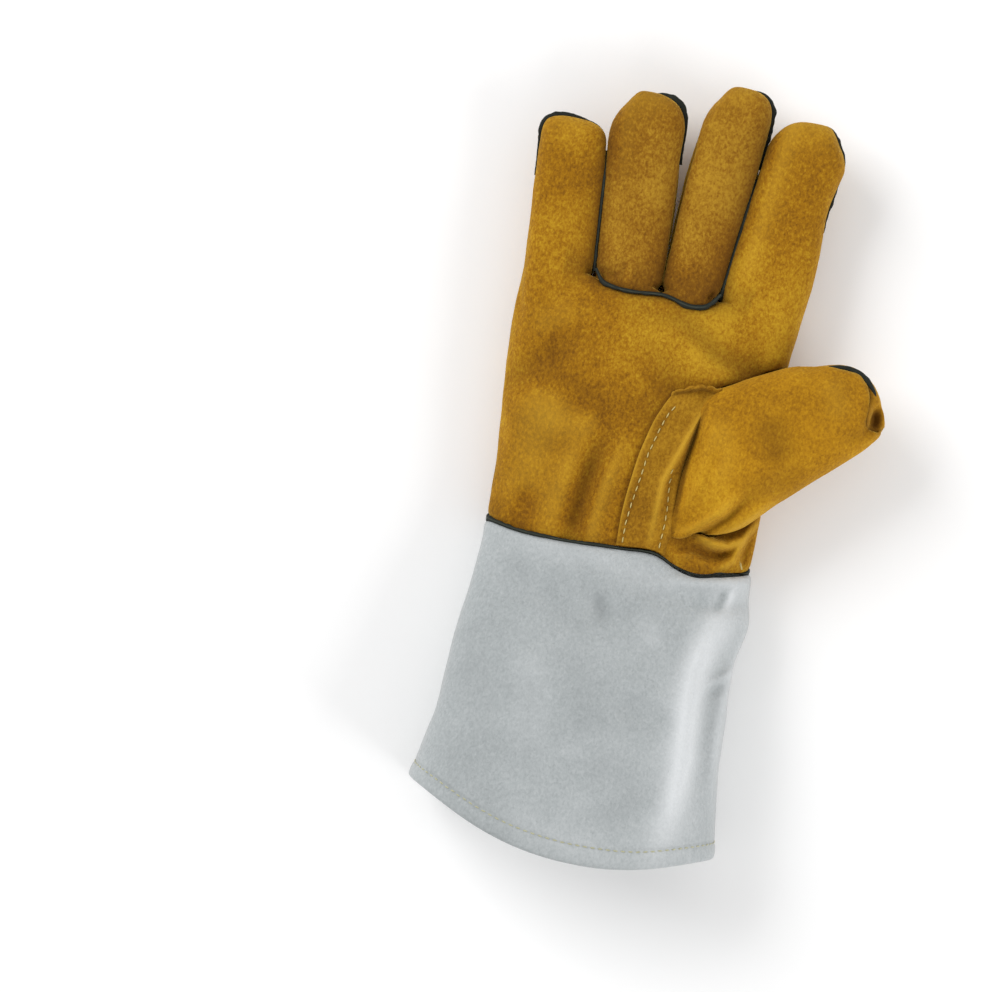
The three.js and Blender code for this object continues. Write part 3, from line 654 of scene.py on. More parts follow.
def thumb_form():
    places = np.concatenate([np.linspace(-0.08, 0.93, 46), np.linspace(0.94, 1.0, 8)])

    def skin(turn, share):
        along, out = station(places, share)
        offset, width, depth, lift, turned = (smooth(THUMB_ROWS, i, along) for i in range(1, 6))
        wide, up = oval(turn, 2.3, 2.3)
        middle = THUMB_ROOT + np.outer(along * THUMB_REACH, THUMB_AXIS)
        middle = middle + np.outer(offset * THUMB_WIDTH, THUMB_SIDE)
        turned = np.radians(turned)
        across = np.stack([-np.sin(turned), np.cos(turned)], axis=-1)
        flat = middle + across * (out * wide * width * THUMB_WIDTH / 2)[:, None]
        z = THUMB_HEIGHT + lift * THUMB_DEPTH + out * up * depth * THUMB_DEPTH / 2
        return np.column_stack([flat, z])

    return wrapped("thumb", 96, len(places) + 1, skin)


def remeshed(piece, rounds):
    apply(piece, "REMESH", mode="VOXEL", voxel_size=VOXEL * MM)
    apply(piece, "SMOOTH", factor=0.5, iterations=rounds)
    return piece


def signed(points, tree):
    """Distance of each point outside a form, below 0 inside it."""
    found = np.empty(len(points))
    for i, p in enumerate(points):
        spot, normal, _, away = tree.find_nearest(Vector(p))
        found[i] = away if (Vector(p) - spot).dot(normal) > 0 else -away
    return found


def tree_of(piece):
    """A search tree over a piece, in millimetres."""
    points = [Vector(p) for p in points_of(piece)]
    return BVHTree.FromPolygons(points, [tuple(face.vertices) for face in piece.data.polygons])


def cut_where_zero(piece, field):
    """Adds a line of edges where field(points) changes sign."""
    made = bmesh.new()
    made.from_mesh(piece.data)
    verts, edges = list(made.verts), list(made.edges)
    points = (np.array([v.co for v in verts]) - ORIGIN) / MM
    values = field(points)
    ends = np.array([(e.verts[0].index, e.verts[1].index) for e in edges])
    a, b = values[ends[:, 0]], values[ends[:, 1]]
    crossing = np.nonzero(a * b < 0)[0]
    nearest = {}
    for k in crossing:
        i, j = ends[k]
        t = values[i] / (values[i] - values[j])
        if t < 0.3 and t < nearest.get(i, (1,))[0]:
            nearest[i] = (t, points[i] + t * (points[j] - points[i]))
        if t > 0.7 and 1 - t < nearest.get(j, (1,))[0]:
            nearest[j] = (1 - t, points[i] + t * (points[j] - points[i]))
    for i, (_, spot) in nearest.items():
        verts[i].co = spot * MM + ORIGIN
        values[i] = 0
    line = [verts[i] for i in nearest]
    for k in crossing:
        i, j = ends[k]
        if values[i] * values[j] >= 0:
            continue
        t = values[i] / (values[i] - values[j])
        line.append(bmesh.utils.edge_split(edges[k], verts[i], t)[1])
    bmesh.ops.connect_verts(made, verts=list(set(line)), check_degenerate=True)
    made.to_mesh(piece.data)
    made.free()
    piece.data.update()


def remove_faces(piece, doomed):
    """Deletes the faces that a mask names."""
    made = bmesh.new()
    made.from_mesh(piece.data)
    made.faces.ensure_lookup_table()
    bmesh.ops.delete(made, geom=[made.faces[i] for i in np.nonzero(doomed)[0]], context="FACES")
    made.to_mesh(piece.data)
    made.free()
    piece.data.update()


def strip_open(points):
    """How wide the strip between two fingers is at a point, as a share, below 0 where there is none."""
    x, y = points[:, 0], points[:, 1]
    share = np.full(len(points), -0.3)
    for i in range(3):
        gap = gap_x(i, y)
        for f, near in ((FINGERS[i], x <= gap), (FINGERS[i + 1], x > gap)):
            middle = finger_at(f, y - PALM)[0]
            between = near & ((x > middle) if f is FINGERS[i] else (x < middle)) & (y > PALM - 7)
            end = PALM + f["length"] - 0.8 * f["dome"]
            share = np.where(between, step(end - y, 0, 0.25 * f["length"]), share)
    return share


def over_side(points):
    return points[:, 2] - seam_height(points[:, 1])


def in_zone(points):
    share = strip_open(points)
    return FOURCHETTE / 2 * share - 0.05 - np.abs(over_side(points) + FOURCHETTE_DROP * share)


def over_knuckle(points):
    near = (points[:, 0] > gap_x(0, points[:, 1])) & (points[:, 0] < gap_x(2, points[:, 1]))
    return np.where(near & (over_side(points) > 0), points[:, 1] - knuckle_y(points[:, 0]), 9.0)


def past_gap(i):
    def field(points):
        near = (points[:, 1] > PALM - 12) & (over_side(points) > 3)
        return np.where(near, points[:, 0] - gap_x(i, points[:, 1]), 9.0)
    return field


def panel_of(points):
    x, y = points[:, 0], points[:, 1]
    gaps = [gap_x(i, y) for i in range(3)]
    above = np.where(x < gaps[0], 1, np.where(x < gaps[1], 2, np.where(x < gaps[2], 3, 1)))
    above = np.where(y < knuckle_y(x), 1, above)
    label = np.where(over_side(points) > 0, above, 0)
    middles = [finger_at(f, y - PALM)[0] for f in FINGERS]
    strip = np.where(x < middles[1], 4, np.where(x < middles[2], 5, 6))
    return np.where(in_zone(points) > 0, strip, label)


def from_joint(points):
    return points[:, 1] - joint_y(points[:, 0], points[:, 2]) - JOINT_EDGE


def seam_points(piece, labels):
    """Indices of the points that lie on a seam or an edge."""
    sides = {}
    for face in piece.data.polygons:
        for key in face.edge_keys:
            sides.setdefault(key, []).append(labels[face.index])
    lines = [key for key, found in sides.items() if len(found) == 1 or len(set(found)) > 1]
    return np.unique(np.array(lines))


def store(piece, name, values):
    layer = piece.data.attributes.new(name, "FLOAT", "POINT")
    layer.data.foreach_set("value", values.astype(np.float32))


def point_tree(points, chosen):
    """A search tree over chosen points."""
    tree = kdtree.KDTree(len(chosen))
    for i in chosen:
        tree.insert(Vector(points[i]), int(i))
    tree.balance()
    return tree


def sew(piece, labels, puckers, seed, shade):
    """Draws the leather in along its seams and gathers it where they turn sharply."""
    points, normals = points_of(piece), normals_of(piece)
    tree = point_tree(points, seam_points(piece, labels))
    found = [tree.find(Vector(p)) for p in points]
    away = np.array([f[2] for f in found])
    spot = np.array([f[0] for f in found])
    gather = 0.12 + sum(c[3] * np.exp(-(np.linalg.norm(spot - c[:3], axis=1) / 13) ** 2) for c in puckers)
    wave = np.zeros(len(points))
    close = away < 14
    wave[close] = ripple(spot[close], 2.4, seed)
    drop = sum(height * np.exp(-(away / width) ** 2) for width, height in SEAM_LOOK)
    lift = 0.35 * np.exp(-((away - 4.5) / 2.2) ** 2)
    points += normals * (lift - drop + gather * wave * np.exp(-away / 4.5))[:, None]
    points[:, 2] = np.maximum(points[:, 2], LOWEST)
    place(piece, points)
    # Darker near the seams: partly the seams' own colour, partly painted shade, as shade() gives it
    store(piece, "seam", shade(points, np.exp(-away / 2.2)))


def separated(piece, labels, names):
    """Parts a skin into its panels."""
    pick(piece)
    for name in names:
        piece.data.materials.append(bpy.data.materials.new(name + "_mark"))
    piece.data.polygons.foreach_set("material_index", labels.astype(np.int32))
    bpy.ops.object.mode_set(mode="EDIT")
    bpy.ops.mesh.select_all(action="SELECT")
    bpy.ops.mesh.separate(type="MATERIAL")
    bpy.ops.object.mode_set(mode="OBJECT")
    made = {}
    for part in list(bpy.context.selected_objects):
        marks = part.data.materials
        mark = marks[part.data.polygons[0].material_index if len(marks) > 1 else 0]
        made[mark.name.removesuffix("_mark")] = part
    return made


def draw_back(piece, gap):
    """Moves the edge of a panel back into it by half the seam's gap."""
    made = bmesh.new()
    made.from_mesh(piece.data)
    shifts = {}
    for vert in made.verts:
        if vert.is_boundary:
            inner = [e.other_vert(vert).co for e in vert.link_edges if not e.is_boundary]
            if inner:
                towards = sum(inner, Vector()) / len(inner) - vert.co
                shifts[vert] = towards.normalized() * min(gap * MM, 0.4 * towards.length)
    for vert, shift in shifts.items():
        vert.co += shift
    made.to_mesh(piece.data)
    made.free()


def finish(piece, material, slot, node=None, angle=None):
    """Gives a piece its material, smooths it up to an angle in degrees and ties it to the glove."""
    piece.data.materials.append(material)
    if angle:
        pick(piece)
        bpy.ops.object.shade_smooth_by_angle(angle=math.radians(angle))
    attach(piece, "root")
    if node:
        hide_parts(node)


def leather(piece, name, wall, material):
    """Gives a panel its thickness and its leather."""
    piece.name = piece.data.name = name + "_leather"
    draw_back(piece, SEAM_GAP)
    piece.data.materials.clear()
    piece.data.polygons.foreach_set("material_index", np.zeros(len(piece.data.polygons), np.int32))
    apply(piece, "SOLIDIFY", thickness=wall * MM, offset=-1.0)
    finish(piece, material, "hand_leather", name, 50)


def thumb_pit(points):
    """1 in the small opening at the tip of the thumb, fading round it."""
    spot, half, _ = THUMB_PIT
    near = np.linalg.norm((points[:, :2] - spot) / half, axis=1)
    return np.minimum(1, 1.25 * np.exp(-near ** 2)) * step(points[:, 2], THUMB_HEIGHT - 6, THUMB_HEIGHT + 4)


# Painted shade along the crease between the thumb and the strap
def beside_crease(points):
    return fold_heights([(THUMB_CREASE, 1.3, 1.25)], points) * (points[:, 2] > THUMB_HEIGHT - 4)


def hand_shade(points, dark):
    """Darkness of the hand's seams, partly painted shade: less at the cuff, and a painted shadow in a line
    beside the strap.
    """
    at_joint = np.exp(-(from_joint(points) / 4) ** 2)
    beside_strap = away_from(points, along_line(STRAP_LEFT, np.linspace(0, 1, 60)))
    line = 0.85 * np.exp(-(beside_strap / 1.3) ** 2) * (points[:, 2] > 20)
    return np.maximum(dark * (1 - 0.6 * at_joint), line)


def over_thumb_side(points):
    along, _ = thumb_place(points)
    return points[:, 2] - THUMB_HEIGHT - smooth(THUMB_ROWS, 4, along) * THUMB_DEPTH


def before_tip(points):
    along, across = thumb_place(points)
    return (smooth(THUMB_TIP_ROWS, 1, across) - along) * THUMB_REACH


def thumb_shade(points, dark):
    """Darkness of the thumb's seams, partly painted shade, and painted shade in its tip's opening and its
    crease beside the strap.
    """
    return np.maximum(np.maximum(dark, thumb_pit(points)), beside_crease(points))


def strap_skin(across, along):
    """A flat strip over the seam of the thumb, whose right side turns up against the thumb."""
    left = along_line(softened(along_line(STRAP_LEFT, np.linspace(0, 1, 40)), 12), along)
    right = along_line(softened(along_line(STRAP_RIGHT, np.linspace(0, 1, 40)), 12), along)
    flat = mix(left, right, across[:, None])
    foot = joint_y(flat[:, 0], np.full(len(flat), WRIST_DEPTH)) + JOINT_EDGE + 0.5
    flat[:, 1] += (foot - flat[:, 1]) * (1 - step(along, 0, 0.08)) * (along < 0.08)
    flat[:, 1] += (1.8 * np.sin(across * math.pi) + 0.3 * np.sin(flat[:, 0] * 1.3)) * step(along, 0.8, 1)
    height = np.array([ray_down(hand_tree, x, y)[0] or WRIST_DEPTH for x, y in flat])
    points = np.column_stack([flat, height])
    ridge = fold_heights([(STRAP_RIDGE, 3.2, 3.0), (STRAP_RIDGE, 1.0, 1.2)], points) * step(along, 0.02, 0.3)
    lip = (0.8 + 3.2 * np.exp(-((across - 0.45) / 0.34) ** 2)) * step(along, 0.965, 1.0)
    lip -= 0.7 * np.exp(-((along - 0.95) / 0.02) ** 2) * np.exp(-((across - 0.4) / 0.3) ** 2)
    tuck = -2.6 * step(across, 0.88, 1.0)
    stitched_down = fold_heights([(line, 1.2, -0.4) for line in STRAP_STITCHES], points)
    held = 0.4 + 0.6 * step(along, 0, 0.06)
    points[:, 2] += (0.25 + STRAP_WALL) * held + ridge + lip + tuck + stitched_down
    points[:, 2] += 0.25 * ripple(points, 9, 8) * step(along, 0.05, 0.2)
    return points


def cuff_point(turn, share):
    y = -share * CUFF
    for _ in range(4):
        at = trunk(np.minimum(y, -0.001), turn)
        y = mix(joint_y(at[:, 0], at[:, 2]) - JOINT_EDGE, hem_y(at[:, 0], at[:, 2]), share)
    at = trunk(np.minimum(y, -0.001), turn)
    at[:, 1] = y
    over = at[:, 2] - seam_height(y)
    at[:, 2] += step(over, 0, 8) * fold_heights(CUFF_FOLDS, at)
    return at


def cuff_rows():
    """Share of the way to the hem, and depth under the skin, of each ring round the cuff's wall."""
    last = 1 - HEM_ROUND / CUFF
    outer = [(share, 0.0) for share in np.linspace(0, last, 100)]
    bend = [(last + HEM_ROUND * math.sin(a) / CUFF, HEM_ROUND * (1 - math.cos(a)))
            for a in np.radians((25, 50, 75, 105, 130, 155))]
    inner = [(share, 2 * HEM_ROUND) for share in np.linspace(last, 1 - HEM_FOLD / CUFF, 8)]
    inside = [(share, CUFF_WALL) for share in np.linspace(1 - HEM_FOLD / CUFF - 0.003, 0, 70)]
    return np.array(outer + bend + inner + inside + [outer[0]])


def cuff_skin(turn, share):
    """Points of the cuff's wall, with its hem, its side seam and the pull of both seams."""
    row = CUFF_RINGS[np.round(share * (len(CUFF_RINGS) - 1)).astype(int)]
    at = cuff_point(turn, row[:, 0])
    e = 0.01
    round_it = cuff_point(turn + e, row[:, 0]) - cuff_point(turn - e, row[:, 0])
    down = cuff_point(turn, np.minimum(1, row[:, 0] + e)) - cuff_point(turn, np.maximum(0, row[:, 0] - e))
    normal = np.cross(round_it, down)
    normal /= np.maximum(1e-9, np.linalg.norm(normal, axis=1))[:, None]
    to_hem = (1 - row[:, 0]) * CUFF
    from_top = row[:, 0] * CUFF
    skin_only = np.exp(-row[:, 1] / 1.0)
    wave = ripple(at, 24, 9) * 0.7 + ripple(at, 9, 10) * 0.22
    to_fold = to_hem - HEM_FOLD
    hem = 0.3 * np.exp(-((to_hem - 4.5) / 3.2) ** 2) - 0.45 * np.exp(-(to_fold / 1.1) ** 2)
    gather = 0.18 * ripple(at * (1, 0.25, 1), 3.2, 11) * np.exp(-(to_fold / 4.0) ** 2)
    joint = -0.9 * np.exp(-(from_top / 1.1) ** 2) + 0.35 * np.exp(-((from_top - 4) / 2.2) ** 2)
    pull = 0.25 * ripple(at * (1, 0.2, 1), 4.0, 12) * np.exp(-from_top / 5)
    side = np.degrees(np.angle(np.exp(1j * (turn - CUFF_SEAM_TURN))))
    seam = -0.9 * np.exp(-(side / 1.0) ** 2) + 0.5 * np.exp(-((side + 5) / 3.4) ** 2)
    lift = wave + (hem + gather + joint + pull + seam) * skin_only
    at = at + normal * (lift - row[:, 1])[:, None]
    at[:, 2] = np.maximum(at[:, 2], LOWEST + row[:, 1] * 0.5)
    return at


def even(line, spacing):
    count = max(4, int(length_of(line) / spacing))
    return np.linspace(0, 1, count)


def welt(name, line, ups, widths, prouds, seed, closed=False, node=None):
    """A strip sewn into a seam and standing out of it, with a crown greyed by wear and painted highlight,
    and cut ends.
    """
    shares = even(line, 0.9)
    path, up = along_line(line, shares), values_along(ups, line, shares)
    width = np.interp(shares, np.linspace(0, 1, len(widths)), widths)
    proud = np.interp(shares, np.linspace(0, 1, len(prouds)), prouds)
    up /= np.linalg.norm(up, axis=1)[:, None]
    if closed:
        ahead = np.roll(path[:-1], -1, axis=0) - np.roll(path[:-1], 1, axis=0)
        ahead = np.vstack([ahead, ahead[:1]])
    else:
        ahead = np.gradient(path, axis=0)
    ahead /= np.linalg.norm(ahead, axis=1)[:, None]
    side = np.cross(ahead, up)
    side /= np.linalg.norm(side, axis=1)[:, None]
    wobble = 0.7 * ripple(path, 5, seed) + 0.8 * ripple(path, 2.2, seed)
    if closed:
        wobble[-1] = wobble[0]

    def skin(turn, share):
        if closed:
            i, out = np.round(share * (len(path) - 1)).astype(int), np.ones(len(share))
        else:
            i, out = station(np.arange(len(path)), share)
        crease = 1 - 0.2 * np.exp(-((turn - math.pi / 2 - 0.25) / 0.28) ** 2)
        w = width[i] / 2 * (1 + 0.3 * wobble[i])
        h = proud[i] * (1 + 0.25 * wobble[i])
        across = np.cos(turn) * w * out
        rise = np.where(np.sin(turn) > 0, np.sin(turn) * h * crease, np.sin(turn) * 1.5) * out
        drift = side[i] * (0.22 * wobble[i])[:, None]
        made = path[i] + drift + side[i] * across[:, None] + up[i] * rise[:, None]
        made[:, 2] = np.maximum(made[:, 2], LOWEST)
        return made

    rings = len(path) - 1 if closed else len(path) + 1
    piece = wrapped(name + "_strip", 14, rings, skin)
    points = points_of(piece)
    tree = point_tree(path, range(len(path)))
    near = np.array([tree.find(Vector(p))[1] for p in points])
    off = points - path[near]
    lift = (off * up[near]).sum(axis=1)
    sideways = np.abs((off * side[near]).sum(axis=1))
    store(piece, "crown", np.clip(1 - sideways / (width[near] / 2), 0, 1) ** 0.35 * (lift > 0))
    finish(piece, WELT_BLACK, "welt_leather", node, 50)


def shoulder(x, y, reach):
    """Height of the leather beside a gap."""
    sides = [ray_down(hand_tree, x + d, y)[0] for d in (-reach, reach)]
    return min(side for side in sides if side)


def one_stitch(name, length, width):
    """The model of a stitch, that the others are copied from."""
    deselect()
    bpy.ops.mesh.primitive_uv_sphere_add(segments=8, ring_count=6, radius=1)
    piece = bpy.context.object
    piece.name = name
    bpy.ops.object.mode_set(mode="EDIT")
    bpy.ops.transform.rotate(value=math.pi / 2, orient_axis="Y", center_override=(0, 0, 0))
    half = (length / 2 * MM, width / 2 * MM, width / 2 * MM)
    bpy.ops.transform.resize(value=half, center_override=(0, 0, 0))
    bpy.ops.object.mode_set(mode="OBJECT")
    bpy.ops.object.shade_smooth()
    return piece


def stitched(name, lines, tree, material, slot, length, pitch, width, flat=True):
    """Stitches at an even pitch along lines that lie on a surface."""
    template = one_stitch(name, length, width)
    copies = []
    for line in lines:
        count = int(length_of(line) / pitch)
        shares = (np.arange(count) + 0.5) / count
        spots = along_line(line, shares)
        ahead = along_line(line, np.minimum(1, shares + 0.004))
        ahead = ahead - along_line(line, np.maximum(0, shares - 0.004))
        for k, (spot, run) in enumerate(zip(spots, ahead)):
            if flat:
                z, normal = ray_down(tree, spot[0], spot[1])
                if z is None:
                    continue
                at = Vector((spot[0], spot[1], z))
            else:
                at, normal, _, _ = tree.find_nearest(Vector(spot))
                at.z = max(at.z, width)
            forward = Vector((*run[:2], 0)) if flat else Vector(run)
            forward = (forward - normal * forward.dot(normal)).normalized()
            sway = 0.1 * math.sin(5.1 * k)
            side = normal.cross(forward)
            forward = (forward + side * sway).normalized()
            side = normal.cross(forward)
            turn = Matrix((forward, side, normal)).transposed().to_4x4()
            copy = template.copy()
            copy.data = template.data.copy()
            copy.data.transform(Matrix.Translation(Vector((at + normal * 0.2) * MM) + Vector(ORIGIN)) @ turn)
            bpy.context.scene.collection.objects.link(copy)
            copies.append(copy)
    bpy.data.objects.remove(template)
    piece = joined(copies, name)
    finish(piece, material, slot)


def hem_line(inset):
    """A line round the cuff at a distance from its hem."""
    turn = np.radians(np.linspace(-179, 180, 260))
    return [tuple(p) for p in cuff_point(turn, np.full(len(turn), 1 - inset / CUFF))]


def strand(name, line, width):
    """A loose end of thread."""
    path = softened(along_line(line, np.linspace(0, 1, 18)), 5)
    ahead = np.gradient(path, axis=0)
    ahead /= np.linalg.norm(ahead, axis=1)[:, None]
    side = np.cross(ahead, (0, 0, 1))
    side /= np.maximum(1e-6, np.linalg.norm(side, axis=1))[:, None]
    up = np.cross(side, ahead)

    def skin(turn, share):
        i, out = station(np.arange(len(path)), share)
        round_it = side[i] * np.cos(turn)[:, None] + up[i] * np.sin(turn)[:, None]
        return path[i] + round_it * (width / 2 * out)[:, None]

    return wrapped(name, 6, len(path) + 1, skin)


def softbox(name, place_at, size, power):
    """A square lamp that faces the glove."""
    data = bpy.data.lights.new(name, "AREA")
    data.size, data.energy = size, power
    light = bpy.data.objects.new(name, data)
    bpy.context.scene.collection.objects.link(light)
    light.location = place_at
    light.rotation_euler = (-Vector(place_at)).to_track_quat("-Z", "Y").to_euler()


class Value:
    """A shader socket whose arithmetic adds Math nodes."""

    def __init__(self, finish, socket):
        self.finish, self.socket = finish, socket

    def math(self, operation, a, b):
        return self.finish.node("ShaderNodeMath", {"operation": operation}, {0: a, 1: b})

    def __add__(self, other):
        return self.math("ADD", self, other)

    def __radd__(self, other):
        return self.math("ADD", other, self)

    def __mul__(self, other):
        return self.math("MULTIPLY", self, other)

    def __rmul__(self, other):
        return self.math("MULTIPLY", other, self)


class Finish:
    """A node material in the making."""

    def __init__(self, name):
        self.material = bpy.data.materials.new(name)
        self.material.use_nodes = True
        self.tree = self.material.node_tree
        self.surface = self.tree.nodes["Principled BSDF"]
        self.place = self.node("ShaderNodeTexCoord", {}, {}, "Object")

    def node(self, kind, settings, sockets, output=0):
        made = self.tree.nodes.new(kind)
        for key, value in settings.items():
            if key == "stops":
                ramp = made.color_ramp.elements
                for i, (at, colour) in enumerate(value):
                    stop = ramp[i] if i < 2 else ramp.new(at)
                    stop.position, stop.color = at, (*colour, 1)
            else:
                setattr(made, key, value)
        for key, value in sockets.items():
            if isinstance(value, Value):
                self.tree.links.new(value.socket, made.inputs[key])
            else:
                made.inputs[key].default_value = value
        return Value(self, made.outputs[output])

    def grain(self, size, detail, roughness=0.5, distortion=0.0, stretch=(1, 1, 1), shift=(0, 0, 0)):
        """Noise with spots of about a size in millimetres, from 0 to 1."""
        sockets = {"Vector": self.place, "Location": shift, "Scale": stretch}
        where = self.node("ShaderNodeMapping", {}, sockets)
        return self.node("ShaderNodeTexNoise", {}, {
            "Vector": where, "Scale": 0.6 / (size * MM), "Detail": detail, "Roughness": roughness,
            "Distortion": distortion,
        })

    def blend(self, factor, a, b):
        return self.node("ShaderNodeMix", {"data_type": "RGBA"}, {0: factor, 6: a, 7: b}, 2)

    def mark(self, name):
        return self.node("ShaderNodeAttribute", {"attribute_name": name}, {}, "Fac")

    def ramp(self, value, *stops):
        return self.node("ShaderNodeValToRGB", {"stops": stops}, {0: value})

    def range(self, value, low, high, a=0.0, b=1.0):
        return self.node("ShaderNodeMapRange", {}, {0: value, 1: low, 2: high, 3: a, 4: b})

    def use(self, **sockets):
        for key, value in sockets.items():
            socket = self.surface.inputs[key.replace("_", " ")]
            if isinstance(value, Value):
                self.tree.links.new(value.socket, socket)
            else:
                socket.default_value = value

    def bump(self, height, strength, depth):
        self.use(Normal=self.node("ShaderNodeBump", {}, {
            "Height": height, "Strength": strength, "Distance": depth * MM}))


def linear(r, g, b):
    """A colour as read from a picture, in the values that shading works with."""
    return tuple((c / 255 / 12.92) if c < 10 else ((c / 255 + 0.055) / 1.055) ** 2.4 for c in (r, g, b))


def suede(name, tones, accents, mottle, clouds, shift):
    """Split leather: a brushed, flecked nap over soft blotches, with painted shade and highlights, and seams
    darker partly by painted shade.
    """
    f = Finish(name)
    dark, middle, light = [linear(*tone) for tone in tones]
    seam, painted_highlight = [linear(*tone) for tone in accents[:2]]
    blotch = f.grain(BLOTCH, 2, 0.5, 0.4, shift=shift)
    cloud = f.grain(CLOUD, 2, 0.5, 0.5, shift=shift)
    fleck = f.grain(FLECK, 2, 0.6, 0.5, (1, 0.8, 1), shift)
    nap = f.grain(NAP, 2, 0.7, 0.3, (1, 0.7, 1), shift)
    tone = blotch * (0.34 * clouds) + cloud * (0.24 * clouds)
    tone = tone + fleck * (0.26 * mottle) + nap * (0.4 * mottle)
    tone = tone + (0.5 - 0.29 * clouds - 0.33 * mottle)
    colour = f.ramp(tone, (0.38, dark), (0.5, middle), (0.63, light))
    # Painted shade in folds and gaps, painted highlights on crests, and seams darkened partly by painted
    # shade
    fold = f.mark("fold")
    colour = f.blend(f.range(fold, 0.0, -1.0, 0.0, 0.6), colour, (*seam, 1))
    colour = f.blend(f.range(fold, 0.0, 1.0, 0.0, 0.6), colour, (*painted_highlight, 1))
    edge = f.range(f.mark("seam"), 0.1, 0.95, 0.0, 0.7)
    colour = f.blend(edge, colour, (*seam, 1))
    f.use(Base_Color=colour, Roughness=f.range(fleck, 0.3, 0.7, 0.86, 0.97))
    f.surface.inputs["Specular IOR Level"].default_value = 0.15
    f.surface.inputs["Sheen Weight"].default_value = 0.7
    f.surface.inputs["Sheen Roughness"].default_value = 0.35
    f.surface.inputs["Sheen Tint"].default_value = (*accents[2], 1)
    f.bump(nap * 0.55 + fleck * 0.45, 0.7, 0.8)
    return f.material


def welt_finish():
    """Black welt leather, greyer along its crown, partly wear and partly painted highlight."""
    f = Finish("black_welt")
    wear = f.grain(3.2, 4, 0.6)
    fibre = f.grain(0.6, 3, 0.7)
    crown = f.range(f.mark("crown"), 0.86, 1.0, 0.0, 1.0)
    # The grey crown: partly wear, partly a painted highlight on the strip's top
    worn = crown * f.range(wear, 0.38, 0.62, 0.15, 1.0)
    colour = f.blend(fibre, (*linear(18, 21, 17), 1), (*linear(42, 46, 39), 1))
    colour = f.blend(worn * 0.65, colour, (*linear(92, 98, 86), 1))
    f.use(Base_Color=colour, Roughness=f.range(wear, 0.3, 0.7, 0.55, 0.85))
    f.surface.inputs["Specular IOR Level"].default_value = 0.2
    f.bump(fibre + wear, 0.5, 0.4)
    return f.material


def thread_finish(name, shade, lit):
    """Spun thread, with the turns of its strands."""
    f = Finish(name)
    spun = f.grain(0.5, 2)
    f.use(Base_Color=f.blend(spun, (*shade, 1), (*lit, 1)), Roughness=f.range(spun, 0, 1, 0.6, 0.85))
    f.surface.inputs["Sheen Weight"].default_value = 0.3
    f.bump(spun, 0.6, 0.2)
    return f.material


# The colours of seams and painted shade, and of painted highlights on crests, and the tint of the nap's
# sheen
TAN = ((84, 50, 8), (208, 163, 48), (1.0, 0.66, 0.12))
GREY = ((104, 108, 110), (232, 234, 236), (1, 1, 1))
# The dark, middle and light tone of each suede, its accents, the strength of its flecks and its clouds
PALM_SUEDE, FRONT_SUEDE, BACK_SUEDE, THUMB_SUEDE, STRAP_SUEDE, GREY_SUEDE = [suede(*look) for look in (
    ("tan_suede_palm", ((114, 73, 8), (153, 105, 14), (184, 142, 32)), TAN, 0.85, 0.9, (0, 0, 0)),
    ("tan_suede_fronts", ((100, 62, 8), (136, 91, 16), (172, 130, 36)), TAN, 0.85, 0.9, (0.2, 0.1, 0)),
    ("tan_suede_back", ((118, 76, 8), (156, 108, 15), (187, 144, 32)), TAN, 0.85, 0.9, (0.5, 0.4, 0)),
    ("tan_suede_thumb", ((140, 94, 11), (173, 123, 19), (198, 151, 32)), TAN, 0.8, 1.0, (0.8, 0.3, 0)),
    ("tan_suede_strap", ((106, 70, 8), (142, 98, 16), (172, 127, 30)), TAN, 0.8, 1.0, (0.4, 0.7, 0)),
    ("grey_suede", ((148, 153, 154), (164, 169, 170), (181, 185, 186)), GREY, 0.7, 0.6, (0.1, 0.9, 0)),
)]
WELT_BLACK = welt_finish()
CREAM_THREAD = thread_finish("cream_thread", linear(160, 140, 70), linear(212, 194, 124))
YELLOW_THREAD = thread_finish("yellow_thread", linear(162, 159, 122), linear(192, 190, 154))
PANEL_SUEDES = {"palm_panel": PALM_SUEDE, "ring_front": FRONT_SUEDE, "middle_front": FRONT_SUEDE,
                "thumb_front": THUMB_SUEDE, "thumb_back": THUMB_SUEDE}

# The hand's skin: trunk and fingers grown together, then the fingers filled out to meet each other
hand = joined([trunk_form()] + [finger_form(f) for f in FINGERS], "hand")
remeshed(hand, 6)
points = points_of(hand)
for i, f in enumerate(FINGERS):
    beyond = points[:, 1] - PALM
    low = gap_x(i - 1, points[:, 1]) if i > 0 else -1e3
    high = gap_x(i, points[:, 1]) if i < 3 else 1e3
    mine = (beyond > 0) & (points[:, 0] > low) & (points[:, 0] <= high)
    middle, half, _ = finger_at(f, beyond)
    left, right = slimming(f)
    side = (points[:, 0] - middle) / np.maximum(half, 2)
    fill = np.where(side > 0, right, left) * np.clip(side, -1, 1) * step(beyond, 0, 3)
    points[:, 0] += np.where(mine, fill + drawn_in(f, beyond, side), 0)
    within = np.clip(points[:, 0], low + FINGER_TOUCH, high - FINGER_TOUCH)
    points[:, 0] = np.where(mine, within, points[:, 0])
over = points[:, 2] - seam_height(points[:, 1])
top = step(over, 1, 9)
points[:, 2] += top * fold_heights(HAND_FOLDS, points)
points += normals_of(hand) * (0.55 * ripple(points, 26, 1) + 0.28 * ripple(points, 11, 2))[:, None]
points[:, 2] = np.maximum(points[:, 2], LOWEST)
place(hand, points)

